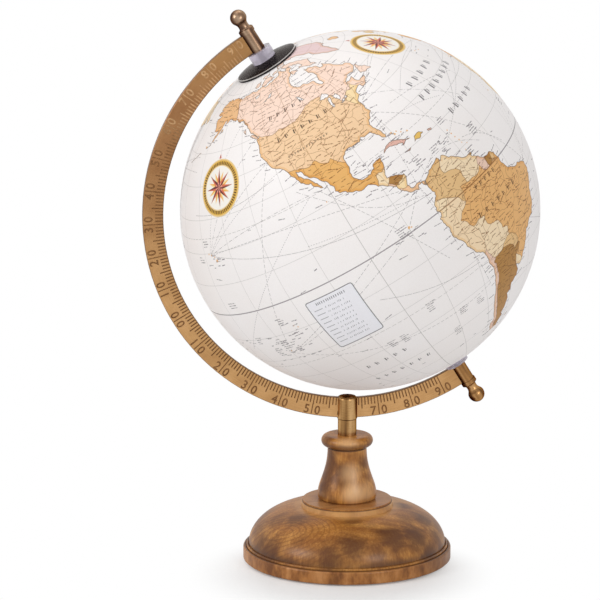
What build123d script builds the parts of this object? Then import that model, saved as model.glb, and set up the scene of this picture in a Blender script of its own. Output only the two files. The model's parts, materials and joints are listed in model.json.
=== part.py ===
"""Desktop globe on a turned wooden stand, with a brass meridian arc. Millimetres, +Z up.

The origin is the centre of the felt foot. The meridian arc lies in the XZ plane, and the north end
of the axis leans towards -X.
"""

import os
from math import acos, asin, cos, degrees, hypot, radians, sin, sqrt

from build123d import *

# Ball
ball_radius = 101.5
paper_thickness = 0.25
shell_wall = 1.6
band_width = 16.0
band_thickness = 1.6
glue_film = 0.1
seam_gap = 0.1

# Axis and axle
axis_tilt = 31.7
axle_radius = 2.0
axle_thread_radius = 1.5
slip_fit = 0.04
running_fit = 0.06
thrust_gap = 0.1

# Pole bushes, spacers and cap
bush_barrel_radius = 4.0
bush_barrel_length = 9.0
bush_flange_radius = 6.0
bush_flange_height = 0.8
spacer_radius = 7.0
north_spacer_height = 6.2
south_spacer_height = 3.8
cap_radius = 18.7
cap_crown_radius = 7.3
cap_rise = 1.6
cap_sheet = 0.6
cap_lip = 1.1
cap_bulge_height = 0.2
cap_axle_gap = 0.3

# Meridian arc, its end bosses and finials
arc_width = 11.7
arc_thickness = 3.0
arc_belly = 3.4
arc_reach = 3.4
arc_edge_chamfer = 0.3
boss_radius = 4.0
finial_foot_radius = 4.45
finial_foot_height = 2.6
finial_foot_chamfer = 0.4
finial_neck_radius = 2.9
finial_neck_height = 4.8
finial_ball_radius = 4.65
finial_ball_height = 9.8
finial_grip = 6.5

# Post
sleeve_radius = 5.3
sleeve_height = 9.1
fork_radius = 5.7
fork_web = 0.9
fork_overtop = 0.9
fork_round = 1.8
fork_chamfer = 0.5
slot_clear = 0.05
spigot_radius = 4.0
spigot_socket_depth = 3.0
clamp_screw_radius = 1.5
clamp_screw_recess = 0.5
driver_slot_width = 0.6
driver_slot_depth = 0.8

# Neck
neck_height = 38.8
neck_flange_radius = 25.3
neck_flange_thickness = 1.1
neck_bead_height = 3.4
neck_bead_inset = 1.0
neck_foot_radius = 16.7
neck_foot_pull = 7.2
neck_waist_radius = 11.1
neck_waist_pull = 14.4
collar_radius = 14.7
collar_edge_radius = 11.8
collar_height = 6.6
quirk_depth = 0.6
quirk_height = 0.7
tenon_radius = 9.0
tenon_length = 7.0
tenon_fit = 0.1
tenon_spare = 0.5

# Base
base_height = 34.2
rim_radius = 59.2
rim_height = 9.0
rim_ledge_drop = 0.7
rim_shoulder = 1.2
rim_foot_chamfer = 0.6
dome_setback = 3.1
dome_crown_radius = 23.5
rim_bead = 1.3
rim_quirk_width = 0.5
rim_quirk_depth = 0.6
seat_margin = 0.3
seat_bevel_width = 0.6
seat_bevel_height = 3.0
felt_thickness = 2.0
felt_proud = 0.8
felt_setback = 4.5
felt_clear = 0.4

# Tie bolt
bolt_radius = 2.45
bolt_thread_fit = 0.05
bolt_hole_clear = 0.55
bolt_head_flats = 8.0
bolt_head_height = 3.5
bolt_engagement = 8.0
bolt_end_room = 1.5
washer_radius = 7.5
washer_thickness = 1.2
washer_bore_clear = 0.2
recess_clear = 1.0
recess_spare = 1.5

# Heights of the upright stack
base_underside = felt_proud
bolt_seat = felt_thickness + recess_spare + bolt_head_height + washer_thickness
neck_base = base_height
neck_top = neck_base + neck_height
fork_base = neck_top + sleeve_height
slot_floor = fork_base + fork_web
fork_top = slot_floor + arc_width + fork_overtop
spigot_end = neck_top - spigot_socket_depth
bolt_end = spigot_end + bolt_engagement
slot_width = arc_thickness + 2 * slot_clear
bolt_hole_radius = bolt_radius + bolt_hole_clear

# Stations along the axis, as distances from the ball's centre
bush_face = ball_radius + bush_flange_height
crown_top = ball_radius + cap_rise
north_spacer_base = crown_top + thrust_gap
north_boss_base = north_spacer_base + north_spacer_height
south_spacer_base = bush_face + thrust_gap
south_boss_base = south_spacer_base + south_spacer_height

# The arc's circle runs through the middle of both bosses
north_boss_middle = north_boss_base + arc_width / 2
south_boss_middle = south_boss_base + arc_width / 2
half_chord = (north_boss_middle + south_boss_middle) / 2
arc_axis_shift = (north_boss_middle - south_boss_middle) / 2
arc_middle_radius = hypot(half_chord, arc_belly)
arc_inner_radius = arc_middle_radius - arc_width / 2
arc_outer_radius = arc_middle_radius + arc_width / 2
arc_end_turn = degrees(asin(arc_belly / arc_middle_radius))

# The arc stands on the floor of the fork's slot, and the ball hangs on the arc
tilt = radians(axis_tilt)
north = Vector(-sin(tilt), 0, cos(tilt))
belly = Vector(-cos(tilt), 0, -sin(tilt))
arc_centre = Vector(arc_reach, 0, slot_floor + slot_clear + arc_outer_radius)
ball_centre = arc_centre - north * arc_axis_shift - belly * arc_belly
globe_axis = Axis(ball_centre, north)

# Half sections through the axis: x runs out from the axis, y towards the pole
north_section = Plane(ball_centre, x_dir=-belly, z_dir=(0, -1, 0))
south_section = Plane(ball_centre, x_dir=-belly, z_dir=(0, 1, 0))
poles = {"north": north_section, "south": south_section}
boss_bases = {"north": north_boss_base, "south": south_boss_base}
spacer_bases = {"north": north_spacer_base, "south": south_spacer_base}

os.makedirs("parts", exist_ok=True)


def save(piece, name):
    """Label a finished piece and write its STEP file."""
    piece.part.label = name
    export_step(piece.part, f"parts/{name}.step")


def sphere_height(radius, reach):
    """Height on a sphere of this radius at a given distance from its axis."""
    return sqrt(radius**2 - reach**2)


def half_shell(section, outer, inner, hole):
    """Revolve one half of a hollow ball, from the seam to the pole hole."""
    with BuildPart() as shell:
        with BuildSketch(section):
            with BuildLine():
                seam = seam_gap / 2
                outer_seam = (sphere_height(outer, seam), seam)
                outer_pole = (hole, sphere_height(outer, hole))
                inner_pole = (hole, sphere_height(inner, hole))
                inner_seam = (sphere_height(inner, seam), seam)
                RadiusArc(outer_seam, outer_pole, -outer)
                Line(outer_pole, inner_pole)
                RadiusArc(inner_pole, inner_seam, inner)
                Line(inner_seam, outer_seam)
            make_face()
        revolve(axis=globe_axis)
    return shell


def tube(section, base, height, outer, bore):
    """Revolve a plain tube about the axis, from its base towards the pole."""
    with BuildPart() as ring:
        with BuildSketch(section):
            with Locations((bore, base)):
                Rectangle(outer - bore, height, align=(Align.MIN, Align.MIN))
        revolve(axis=globe_axis)
    return ring


# Wooden base: rim, shoulder, quirk and bead, dome, and the bevelled seat of the neck
with BuildPart() as base_dome:
    with BuildSketch(Plane.XZ):
        with BuildLine():
            dome_radius = rim_radius - dome_setback
            seat_radius = neck_flange_radius + seat_margin
            bevel_foot_radius = seat_radius + seat_bevel_width
            dome_run = dome_radius - dome_crown_radius
            dome_turn = acos((bevel_foot_radius - dome_crown_radius) / dome_run)
            dome_rise = (base_height - seat_bevel_height - rim_height) / sin(dome_turn)
            ledge_height = rim_height - rim_ledge_drop
            bead_edge = dome_radius + rim_bead
            ledge_edge = bead_edge + rim_quirk_width
            side = Polyline(
                (0, base_underside),
                (rim_radius - rim_foot_chamfer, base_underside),
                (rim_radius, base_underside + rim_foot_chamfer),
                (rim_radius, ledge_height - rim_shoulder),
            )
            EllipticalCenterArc(
                (ledge_edge, ledge_height - rim_shoulder),
                rim_radius - ledge_edge,
                rim_shoulder,
                0,
                arc_size=90,
            )
            Polyline(
                (ledge_edge, ledge_height),
                (bead_edge, ledge_height - rim_quirk_depth),
                (bead_edge, rim_height),
            )
            ThreePointArc(
                (bead_edge, rim_height),
                (dome_radius + rim_bead / 2, rim_height + rim_bead / 2),
                (dome_radius, rim_height),
            )
            dome = EllipticalCenterArc(
                (dome_crown_radius, rim_height), dome_run, dome_rise, 0, arc_size=degrees(dome_turn)
            )
            Polyline(dome @ 1, (seat_radius, base_height), (0, base_height), side @ 0)
        make_face()
    revolve(axis=Axis.Z)
    with BuildSketch(Plane.XY.offset(base_underside)):
        Circle(rim_radius - felt_setback + felt_clear)
    extrude(amount=felt_thickness - base_underside, mode=Mode.SUBTRACT)
    with BuildSketch(Plane.XY.offset(felt_thickness)):
        Circle(washer_radius + recess_clear)
    extrude(amount=bolt_seat - felt_thickness, mode=Mode.SUBTRACT)
    with BuildSketch(Plane.XY.offset(bolt_seat)):
        Circle(bolt_hole_radius)
    extrude(amount=base_height - bolt_seat, mode=Mode.SUBTRACT)
    with BuildSketch(Plane.XY.offset(base_height)):
        Circle(tenon_radius + tenon_fit)
    extrude(amount=-(tenon_length + tenon_spare), mode=Mode.SUBTRACT)
save(base_dome, "base_dome")

# Felt pad, let into the underside of the base
with BuildPart() as base_felt:
    with BuildSketch(Plane.XY):
        Circle(rim_radius - felt_setback)
    extrude(amount=felt_thickness)
save(base_felt, "base_felt")

# Wooden neck: tenon, foot flange, bell and collar
with BuildPart() as neck_column:
    with BuildSketch(Plane.XZ):
        with BuildLine():
            flange_top = neck_base + neck_flange_thickness
            bell_foot = (neck_foot_radius, flange_top + neck_bead_height)
            bell_top = neck_top - collar_height - quirk_height
            flange = Polyline(
                (0, neck_base - tenon_length),
                (tenon_radius, neck_base - tenon_length),
                (tenon_radius, neck_base),
                (neck_flange_radius, neck_base),
                (neck_flange_radius, flange_top),
                (neck_foot_radius - neck_bead_inset, flange_top),
            )
            EllipticalCenterArc(
                (neck_foot_radius - neck_bead_inset, bell_foot[1]),
                neck_bead_inset,
                neck_bead_height,
                -90,
                arc_size=90,
            )
            bell = Bezier(
                bell_foot,
                (neck_foot_radius, bell_foot[1] + neck_foot_pull),
                (neck_waist_radius, bell_top - neck_waist_pull),
                (neck_waist_radius, bell_top),
            )
            quirk_radius = neck_waist_radius - quirk_depth
            quirk = Polyline(
                bell @ 1,
                (quirk_radius, bell_top),
                (quirk_radius, bell_top + quirk_height),
                (neck_waist_radius, bell_top + quirk_height),
            )
            collar = ThreePointArc(
                quirk @ 1,
                (collar_radius, neck_top - collar_height / 2),
                (collar_edge_radius, neck_top),
            )
            Polyline(collar @ 1, (0, neck_top), flange @ 0)
        make_face()
    revolve(axis=Axis.Z)
    with BuildSketch(Plane.XY.offset(neck_base - tenon_length)):
        Circle(bolt_hole_radius)
    extrude(amount=neck_height + tenon_length, mode=Mode.SUBTRACT)
    with BuildSketch(Plane.XY.offset(neck_top)):
        Circle(spigot_radius + tenon_fit)
    extrude(amount=-spigot_socket_depth, mode=Mode.SUBTRACT)
save(neck_column, "neck_column")

# Brass sleeve on the collar
with BuildPart() as post_sleeve:
    with BuildSketch(Plane.XY.offset(neck_top)):
        Circle(sleeve_radius)
        Circle(spigot_radius + slip_fit, mode=Mode.SUBTRACT)
    extrude(amount=sleeve_height)
save(post_sleeve, "post_sleeve")

# Brass fork: round head slotted over the arc, with a threaded spigot below
with BuildPart() as post_fork:
    with BuildSketch(Plane.XY.offset(fork_base)):
        Circle(fork_radius)
    extrude(amount=fork_top - fork_base)
    fillet(post_fork.edges().group_by(Axis.Z)[-1], fork_round)
    chamfer(post_fork.edges().group_by(Axis.Z)[0], fork_chamfer)
    with BuildSketch(Plane.XY.offset(fork_base)):
        Circle(spigot_radius)
    extrude(amount=spigot_end - fork_base)
    with BuildSketch(Plane.XY.offset(slot_floor)):
        Rectangle(2 * fork_radius, slot_width)
    extrude(amount=fork_top - slot_floor, mode=Mode.SUBTRACT)
    with BuildSketch(Plane.XY.offset(spigot_end)):
        Circle(bolt_radius + bolt_thread_fit)
    extrude(amount=bolt_engagement + bolt_end_room, mode=Mode.SUBTRACT)
    clamp_plane = Plane((0, 0, slot_floor + arc_width / 2), x_dir=(1, 0, 0), z_dir=(0, 1, 0))
    with BuildSketch(clamp_plane):
        Circle(clamp_screw_radius + slip_fit)
    extrude(amount=fork_radius, mode=Mode.SUBTRACT)
save(post_fork, "post_fork")

# Grub screw in the back of the fork, bearing on the arc
with BuildPart() as clamp_screw:
    screw_outer_end = fork_radius - clamp_screw_recess
    with BuildSketch(clamp_plane.offset(arc_thickness / 2)):
        Circle(clamp_screw_radius)
    extrude(amount=screw_outer_end - arc_thickness / 2)
    with BuildSketch(clamp_plane.offset(screw_outer_end)):
        Rectangle(2 * clamp_screw_radius, driver_slot_width)
    extrude(amount=-driver_slot_depth, mode=Mode.SUBTRACT)
save(clamp_screw, "clamp_screw")

# Hexagon bolt from the underside of the base up into the fork's spigot
with BuildPart() as tie_bolt:
    with BuildSketch(Plane.XY.offset(bolt_seat - washer_thickness)):
        RegularPolygon(bolt_head_flats / 2, 6, major_radius=False)
    extrude(amount=-bolt_head_height)
    with BuildSketch(Plane.XY.offset(bolt_seat - washer_thickness)):
        Circle(bolt_radius)
    extrude(amount=bolt_end - bolt_seat + washer_thickness)
save(tie_bolt, "tie_bolt")

with BuildPart() as tie_washer:
    with BuildSketch(Plane.XY.offset(bolt_seat)):
        Circle(washer_radius)
        Circle(bolt_radius + washer_bore_clear, mode=Mode.SUBTRACT)
    extrude(amount=-washer_thickness)
save(tie_washer, "tie_washer")

# Brass meridian arc: a flat half ring, cut round at both ends for the boss, the spacer and the finial
with BuildPart() as meridian_arc:
    arc_plane = Plane(arc_centre, x_dir=north, z_dir=(0, -1, 0))
    with BuildSketch(arc_plane):
        with BuildLine():
            outer_edge = CenterArc((0, 0), arc_outer_radius, -arc_end_turn, 180 + 2 * arc_end_turn)
            inner_edge = CenterArc((0, 0), arc_inner_radius, -arc_end_turn, 180 + 2 * arc_end_turn)
            Line(outer_edge @ 0, inner_edge @ 0)
            Line(outer_edge @ 1, inner_edge @ 1)
        make_face()
    extrude(amount=arc_thickness / 2, both=True)
    chamfer(meridian_arc.edges().filter_by(GeomType.CIRCLE), arc_edge_chamfer)
    for pole, section in poles.items():
        with BuildSketch(section):
            with Locations((0, boss_bases[pole])):
                Rectangle(boss_radius + glue_film, arc_width, align=Align.MIN)
                Rectangle(spacer_radius, arc_width, align=(Align.MIN, Align.MAX))
            with Locations((0, boss_bases[pole] + arc_width)):
                Rectangle(finial_foot_radius, arc_width, align=Align.MIN)
        revolve(axis=globe_axis, mode=Mode.SUBTRACT)
save(meridian_arc, "meridian_arc")

# Steel axle, stepped down to the threads that carry the finials
with BuildPart() as axle_rod:
    north_end = north_boss_base + arc_width
    south_end = south_boss_base + arc_width
    with BuildSketch(north_section):
        with BuildLine():
            Polyline(
                (0, -south_end - finial_grip),
                (axle_thread_radius, -south_end - finial_grip),
                (axle_thread_radius, -south_end),
                (axle_radius, -south_end),
                (axle_radius, north_end),
                (axle_thread_radius, north_end),
                (axle_thread_radius, north_end + finial_grip),
                (0, north_end + finial_grip),
                close=True,
            )
        make_face()
    revolve(axis=globe_axis)
save(axle_rod, "axle_rod")

# Pieces that come once at each pole
shell_outer = ball_radius - paper_thickness - glue_film
shell_inner = shell_outer - shell_wall
pole_hole = bush_barrel_radius + slip_fit
spacer_heights = {"north": north_spacer_height, "south": south_spacer_height}
for pole, section in poles.items():
    save(half_shell(section, shell_outer, shell_inner, pole_hole), f"{pole}_hemisphere")
    save(half_shell(section, ball_radius, ball_radius - paper_thickness, pole_hole), f"{pole}_map_skin")

    boss_bore = axle_radius + slip_fit
    save(tube(section, boss_bases[pole], arc_width, boss_radius, boss_bore), f"{pole}_boss")
    save(
        tube(section, spacer_bases[pole], spacer_heights[pole], spacer_radius, boss_bore),
        f"{pole}_spacer",
    )

    # Plastic bush: a barrel through the shell and a flange on the paper
    with BuildPart() as pole_bush:
        with BuildSketch(section):
            with BuildLine():
                flange_foot = ball_radius + glue_film
                barrel_end = ball_radius - bush_barrel_length
                bush_bore = axle_radius + running_fit
                Polyline(
                    (bush_bore, barrel_end),
                    (bush_barrel_radius, barrel_end),
                    (bush_barrel_radius, flange_foot),
                    (bush_flange_radius, flange_foot),
                    (bush_flange_radius, bush_face),
                    (bush_bore, bush_face),
                    close=True,
                )
            make_face()
        revolve(axis=globe_axis)
    save(pole_bush, f"{pole}_bush")

    # Turned finial: foot, hollow neck and a pear-shaped ball
    with BuildPart() as finial:
        with BuildSketch(section):
            with BuildLine():
                finial_base = boss_bases[pole] + arc_width
                neck_end = (finial_neck_radius, finial_base + finial_neck_height)
                ball_middle = finial_base + finial_ball_height
                foot = Polyline(
                    (0, finial_base),
                    (finial_foot_radius, finial_base),
                    (finial_foot_radius, finial_base + finial_foot_height - finial_foot_chamfer),
                    (finial_foot_radius - finial_foot_chamfer, finial_base + finial_foot_height),
                )
                Bezier(
                    foot @ 1,
                    (finial_neck_radius, finial_base + finial_foot_height),
                    neck_end,
                )
                neck_rise = (finial_ball_height - finial_neck_height) / 2
                Bezier(
                    neck_end,
                    (finial_neck_radius, neck_end[1] + neck_rise),
                    (finial_ball_radius, ball_middle - neck_rise),
                    (finial_ball_radius, ball_middle),
                )
                knob = CenterArc((0, ball_middle), finial_ball_radius, 0, 90)
                Line(knob @ 1, foot @ 0)
            make_face()
        revolve(axis=globe_axis)
        with BuildSketch(section):
            with Locations((0, finial_base)):
                Rectangle(axle_thread_radius + slip_fit, finial_grip + thrust_gap, align=Align.MIN)
        revolve(axis=globe_axis, mode=Mode.SUBTRACT)
    save(finial, f"{pole}_finial")

# Ring glued inside the seam of the two shells
with BuildPart() as equator_band:
    with BuildSketch(north_section):
        with BuildLine():
            band_outer = shell_inner - glue_film
            band_inner = band_outer - band_thickness
            half_band = band_width / 2
            outer_reach = sphere_height(band_outer, half_band)
            inner_reach = sphere_height(band_inner, half_band)
            ThreePointArc((outer_reach, -half_band), (band_outer, 0), (outer_reach, half_band))
            ThreePointArc((inner_reach, -half_band), (band_inner, 0), (inner_reach, half_band))
            Line((inner_reach, half_band), (outer_reach, half_band))
            Line((inner_reach, -half_band), (outer_reach, -half_band))
        make_face()
    revolve(axis=globe_axis)
save(equator_band, "equator_band")

# Dished metal cap, resting by its lip on the paper around the north pole
with BuildPart() as north_pole_cap:
    with BuildSketch(north_section):
        with BuildLine():
            lip_inner = cap_radius - cap_sheet
            lip_base = sphere_height(ball_radius, lip_inner) + glue_film
            lip_top = lip_base + cap_lip
            cap_bore = axle_radius + cap_axle_gap
            under_crown = crown_top - cap_sheet
            slope = Vector(cap_crown_radius - cap_radius, crown_top - lip_top).normalized()
            outward = Vector(slope.Y, -slope.X)
            slope_middle = Vector((cap_radius + cap_crown_radius) / 2, (lip_top + crown_top) / 2)
            crest = slope_middle + outward * cap_bulge_height
            skirt = Polyline((lip_inner, lip_base), (cap_radius, lip_base), (cap_radius, lip_top))
            ThreePointArc((cap_radius, lip_top), crest, (cap_crown_radius, crown_top))
            crown = Polyline(
                (cap_crown_radius, crown_top),
                (cap_bore, crown_top),
                (cap_bore, under_crown),
                (cap_crown_radius, under_crown),
            )
            ThreePointArc(crown @ 1, crest - outward * cap_sheet, (lip_inner, lip_top - cap_sheet / 2))
            Line((lip_inner, lip_top - cap_sheet / 2), skirt @ 0)
        make_face()
    revolve(axis=globe_axis)
save(north_pole_cap, "north_pole_cap")
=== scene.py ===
import json
import random
from math import atan2, cos, degrees, hypot, pi, radians, sin

import bmesh
import bpy
import numpy as np
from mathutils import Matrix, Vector
from mathutils.geometry import delaunay_2d_cdt


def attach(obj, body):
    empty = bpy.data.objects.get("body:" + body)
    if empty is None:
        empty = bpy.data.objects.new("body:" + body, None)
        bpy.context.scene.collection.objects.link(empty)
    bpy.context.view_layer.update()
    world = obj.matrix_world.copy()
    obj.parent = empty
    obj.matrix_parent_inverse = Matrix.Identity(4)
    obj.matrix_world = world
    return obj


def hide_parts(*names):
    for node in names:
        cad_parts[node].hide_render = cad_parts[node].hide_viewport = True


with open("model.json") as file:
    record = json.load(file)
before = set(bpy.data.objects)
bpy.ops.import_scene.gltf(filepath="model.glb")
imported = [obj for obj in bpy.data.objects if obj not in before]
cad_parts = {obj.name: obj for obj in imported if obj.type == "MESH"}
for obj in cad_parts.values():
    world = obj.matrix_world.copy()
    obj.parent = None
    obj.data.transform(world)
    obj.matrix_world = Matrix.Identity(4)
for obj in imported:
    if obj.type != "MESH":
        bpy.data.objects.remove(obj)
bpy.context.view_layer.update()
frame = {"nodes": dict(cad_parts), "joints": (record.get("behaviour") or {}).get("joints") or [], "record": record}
bpy.ops.object.select_all(action="DESELECT")

# The ball and the paper on it. Lengths are in metres, and places on the map in degrees.
spin = frame["joints"][0]
ball_centre = Vector(spin["pos_m"])
north = Vector(spin["axis"]).normalized()
ball_east = Vector((north.z, 0, -north.x))
ball_front = Vector((0, -1, 0))
print_radius = 0.10142
paper_thickness = 0.00022
front_longitude = -99.4
west_edge = -169.5
east_edge = west_edge + 360
pole_edge = 87.7
grid_step = 3
grid_columns = 360 // grid_step
last_row = 84

# The meridian arc and the scale cut into it, in metres. Its belly is the middle of the arc.
arc_centre = Vector((0.0034, 0, 0.20260085))
arc_belly = -ball_east
arc_inner = 0.10785085
arc_width = 0.0117
arc_face = -0.0015
mark_depth = 0.00026
mark_start = arc_inner + 0.0003
numeral_size = 0.007
numeral_step = 0.0031
numeral_reach = arc_inner + arc_width * 0.73


def srgb(red, green, blue):
    """A colour given in screen values, as the shader's linear one."""
    out = []
    for value in (red, green, blue):
        v = value / 255
        out.append(v / 12.92 if v <= 0.04045 else ((v + 0.055) / 1.055) ** 2.4)
    return tuple(out) + (1.0,)


class NodeTree:
    """A node tree, with short calls for the nodes that it is made of."""

    def __init__(self, tree):
        self.tree = tree

    def feed(self, socket, value):
        """An input takes a link from another node's socket, or a value of its own."""
        if isinstance(value, bpy.types.NodeSocket):
            self.tree.links.new(value, socket)
        else:
            socket.default_value = value

    def node(self, kind, inputs=None, **settings):
        new = self.tree.nodes.new("ShaderNode" + kind)
        for name, value in settings.items():
            setattr(new, name, value)
        for name, value in (inputs or {}).items():
            self.feed(new.inputs[name], value)
        return new

    def place(self):
        """Where a point is on the object that has the material."""
        return self.node("TexCoord").outputs["Object"]

    def away(self, place, spot):
        """The distance of a place from a spot."""
        return self.node("VectorMath", {0: place, 1: spot}, operation="DISTANCE").outputs["Value"]

    def math(self, operation, first, second=0.0):
        return self.node("Math", {0: first, 1: second}, operation=operation).outputs[0]

    def times(self, first, second):
        return self.math("MULTIPLY", first, second)

    def between(self, value, low, high, start=0.0, end=1.0, smooth=True):
        """From start to end as the value goes from low to high."""
        inputs = {"Value": value, "From Min": low, "From Max": high, "To Min": start, "To Max": end}
        kind = "SMOOTHSTEP" if smooth else "LINEAR"
        return self.node("MapRange", inputs, interpolation_type=kind).outputs["Result"]

    def shown(self):
        """One where the camera looks, straight, by reflection or through clear plastic, or else nought."""
        path = self.node("LightPath").outputs
        direct = self.math("MAXIMUM", path["Is Camera Ray"], path["Is Glossy Ray"])
        return self.math("MAXIMUM", direct, path["Is Transmission Ray"])


class Finish(NodeTree):
    """A material with one principled shader, and short calls for its textures."""

    def __init__(self, name, **constants):
        self.material = bpy.data.materials.new(name)
        self.material.use_nodes = True
        super().__init__(self.material.node_tree)
        self.shader = self.tree.nodes["Principled BSDF"]
        self.spot = self.place()
        self.give(**constants)

    def give(self, **inputs):
        """Values or links for the shader, by the names of its inputs."""
        for name, value in inputs.items():
            self.feed(self.shader.inputs[name.replace("_", " ").title().replace("Ior", "IOR")], value)

    def turned(self, scale=(1, 1, 1), rotation=(0, 0, 0), shift=(0, 0, 0), place=None):
        inputs = {"Vector": place or self.spot, "Scale": scale, "Rotation": rotation, "Location": shift}
        return self.node("Mapping", inputs).outputs["Vector"]

    def parts(self, place=None):
        return self.node("SeparateXYZ", {"Vector": place or self.spot}).outputs

    def noise(self, place, scale, detail=4.0, roughness=0.55, distortion=0.0):
        inputs = {"Vector": place, "Scale": scale, "Detail": detail, "Roughness": roughness}
        inputs["Distortion"] = distortion
        return self.node("TexNoise", inputs).outputs["Fac"]

    def ramp(self, value, stops):
        """Colours along a value, or greys where the stops are numbers."""
        new = self.node("ValToRGB", {"Fac": value})
        ramp = new.color_ramp
        while len(ramp.elements) < len(stops):
            ramp.elements.new(0.5)
        for element, (position, colour) in zip(ramp.elements, stops):
            element.position = position
            element.color = colour if isinstance(colour, tuple) else (colour, colour, colour, 1)
        return new.outputs["Color"]

    def mix(self, amount, first, second, blend="MIX"):
        inputs = {0: amount, 6: first, 7: second}
        return self.node("Mix", inputs, data_type="RGBA", blend_type=blend).outputs[2]

    def band(self, value, start, full, waning, end):
        """One from full to waning, and nought before start and after end."""
        return self.times(self.between(value, start, full), self.between(value, end, waning))

    def relief(self, height, depth, strength):
        inputs = {"Height": height, "Distance": depth, "Strength": strength}
        self.give(normal=self.node("Bump", inputs).outputs["Normal"])


# Outlines of the lands, as longitude and latitude in degrees.

north_america = [
    (-168, 65.6), (-164, 66.5), (-162, 66.6), (-166.5, 68.3), (-163, 69.5), (-160, 70.5), (-156.6, 71.3),
    (-152, 70.8), (-147, 70.2), (-141, 69.6), (-136, 69), (-133, 69.6), (-128, 70.2), (-125, 69.6),
    (-120, 69.5), (-115, 68.8), (-114, 67.8), (-109, 67.9), (-101, 67.8), (-97, 68.2), (-95.5, 69.5),
    (-94.5, 72), (-92, 71), (-91, 69.5), (-88, 68), (-85, 69.6), (-82, 69), (-81.5, 67.5), (-86.5, 66.3),
    (-88, 64.3), (-91, 63.3), (-94, 61.2), (-94.6, 59), (-92.5, 57), (-88, 56.6), (-85, 55.3), (-82.3, 55),
    (-82, 53), (-80.5, 51.4), (-79, 51.5), (-79.3, 54), (-77, 56), (-76.6, 58), (-78.4, 59.5), (-77.8, 62.4),
    (-74, 62.2), (-71.5, 61.2), (-69.6, 60.8), (-69.5, 58.8), (-66.5, 58.8), (-64.8, 60.2), (-62.5, 58.2),
    (-61, 55.8), (-57.3, 54.5), (-55.8, 53), (-56.5, 51.5), (-60, 50.2), (-65, 50.3), (-67.5, 49.3),
    (-70, 47.2), (-68.5, 48.3), (-64.5, 49), (-65, 47.3), (-63.8, 46), (-61, 46.2), (-60, 46.3), (-61, 45.2),
    (-64.5, 43.6), (-66, 43.8), (-66, 44.8), (-68.5, 44.3), (-70.6, 43.2), (-70.7, 42), (-70, 41.7),
    (-72, 41.2), (-74, 40.5), (-74.8, 39), (-75.8, 37.3), (-76, 36.8), (-75.5, 35.3), (-77.5, 34.2),
    (-79.3, 33.1), (-81.2, 31.7), (-81.4, 30.2), (-80.5, 28), (-80.1, 26), (-80.6, 25.2), (-81.8, 26),
    (-82.7, 27.8), (-83.8, 29.8), (-85.2, 29.7), (-88, 30.4), (-89.4, 29.2), (-91.3, 29.4), (-94, 29.6),
    (-97, 28), (-97.4, 26), (-97.8, 22.5), (-96.5, 19.6), (-94.5, 18.2), (-92.2, 18.6), (-90.6, 19.8),
    (-90.3, 21), (-87.2, 21.5), (-87.5, 19.5), (-88.2, 17.8), (-88.8, 15.9), (-86, 15.9), (-83.3, 15),
    (-83.5, 12.7), (-83.6, 11), (-82.2, 9.2), (-79.8, 9.5), (-77.5, 8.6), (-77.8, 7.3), (-78.5, 8.8),
    (-79.6, 8.8), (-80.4, 7.4), (-81.8, 8.1), (-83.5, 8.5), (-84.8, 9.8), (-85.8, 10.5), (-87.5, 12.8),
    (-90, 13.8), (-92.3, 14.6), (-94.5, 16.2), (-96.5, 15.7), (-99.8, 16.8), (-102, 17.9), (-104.5, 19.2),
    (-105.6, 20.4), (-105.3, 21.8), (-107, 24), (-109.2, 25.8), (-110.5, 27.5), (-112.3, 29.2),
    (-113.1, 31.2), (-114.7, 31.7), (-114.5, 30), (-112.8, 28.2), (-111.3, 26), (-110.2, 24.2),
    (-109.5, 23.1), (-110.3, 23.4), (-112.1, 24.8), (-112.3, 26.2), (-115, 27.8), (-115.8, 30.2),
    (-117.1, 32.5), (-118.5, 34), (-120.6, 34.6), (-122, 36.6), (-122.6, 37.8), (-123.8, 39.4),
    (-124.4, 40.4), (-124.2, 42), (-124.5, 42.9), (-124, 45), (-124.6, 48.3), (-122.8, 49), (-125, 50.2),
    (-127.7, 51.5), (-130, 54.3), (-132, 56.5), (-134.5, 58.4), (-137, 58.5), (-139.7, 59.7), (-144, 60.1),
    (-146.5, 60.9), (-149.5, 59.8), (-151.8, 59.3), (-151, 61), (-153.8, 59.3), (-156.5, 57.3),
    (-160, 55.7), (-163, 54.8), (-160.5, 56.2), (-157.7, 57.7), (-157.2, 58.8), (-161.8, 58.7), (-162, 60),
    (-165.3, 61.2), (-165.8, 62.5), (-161, 64.3), (-162.5, 64.5), (-166.2, 64.6)]

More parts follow.
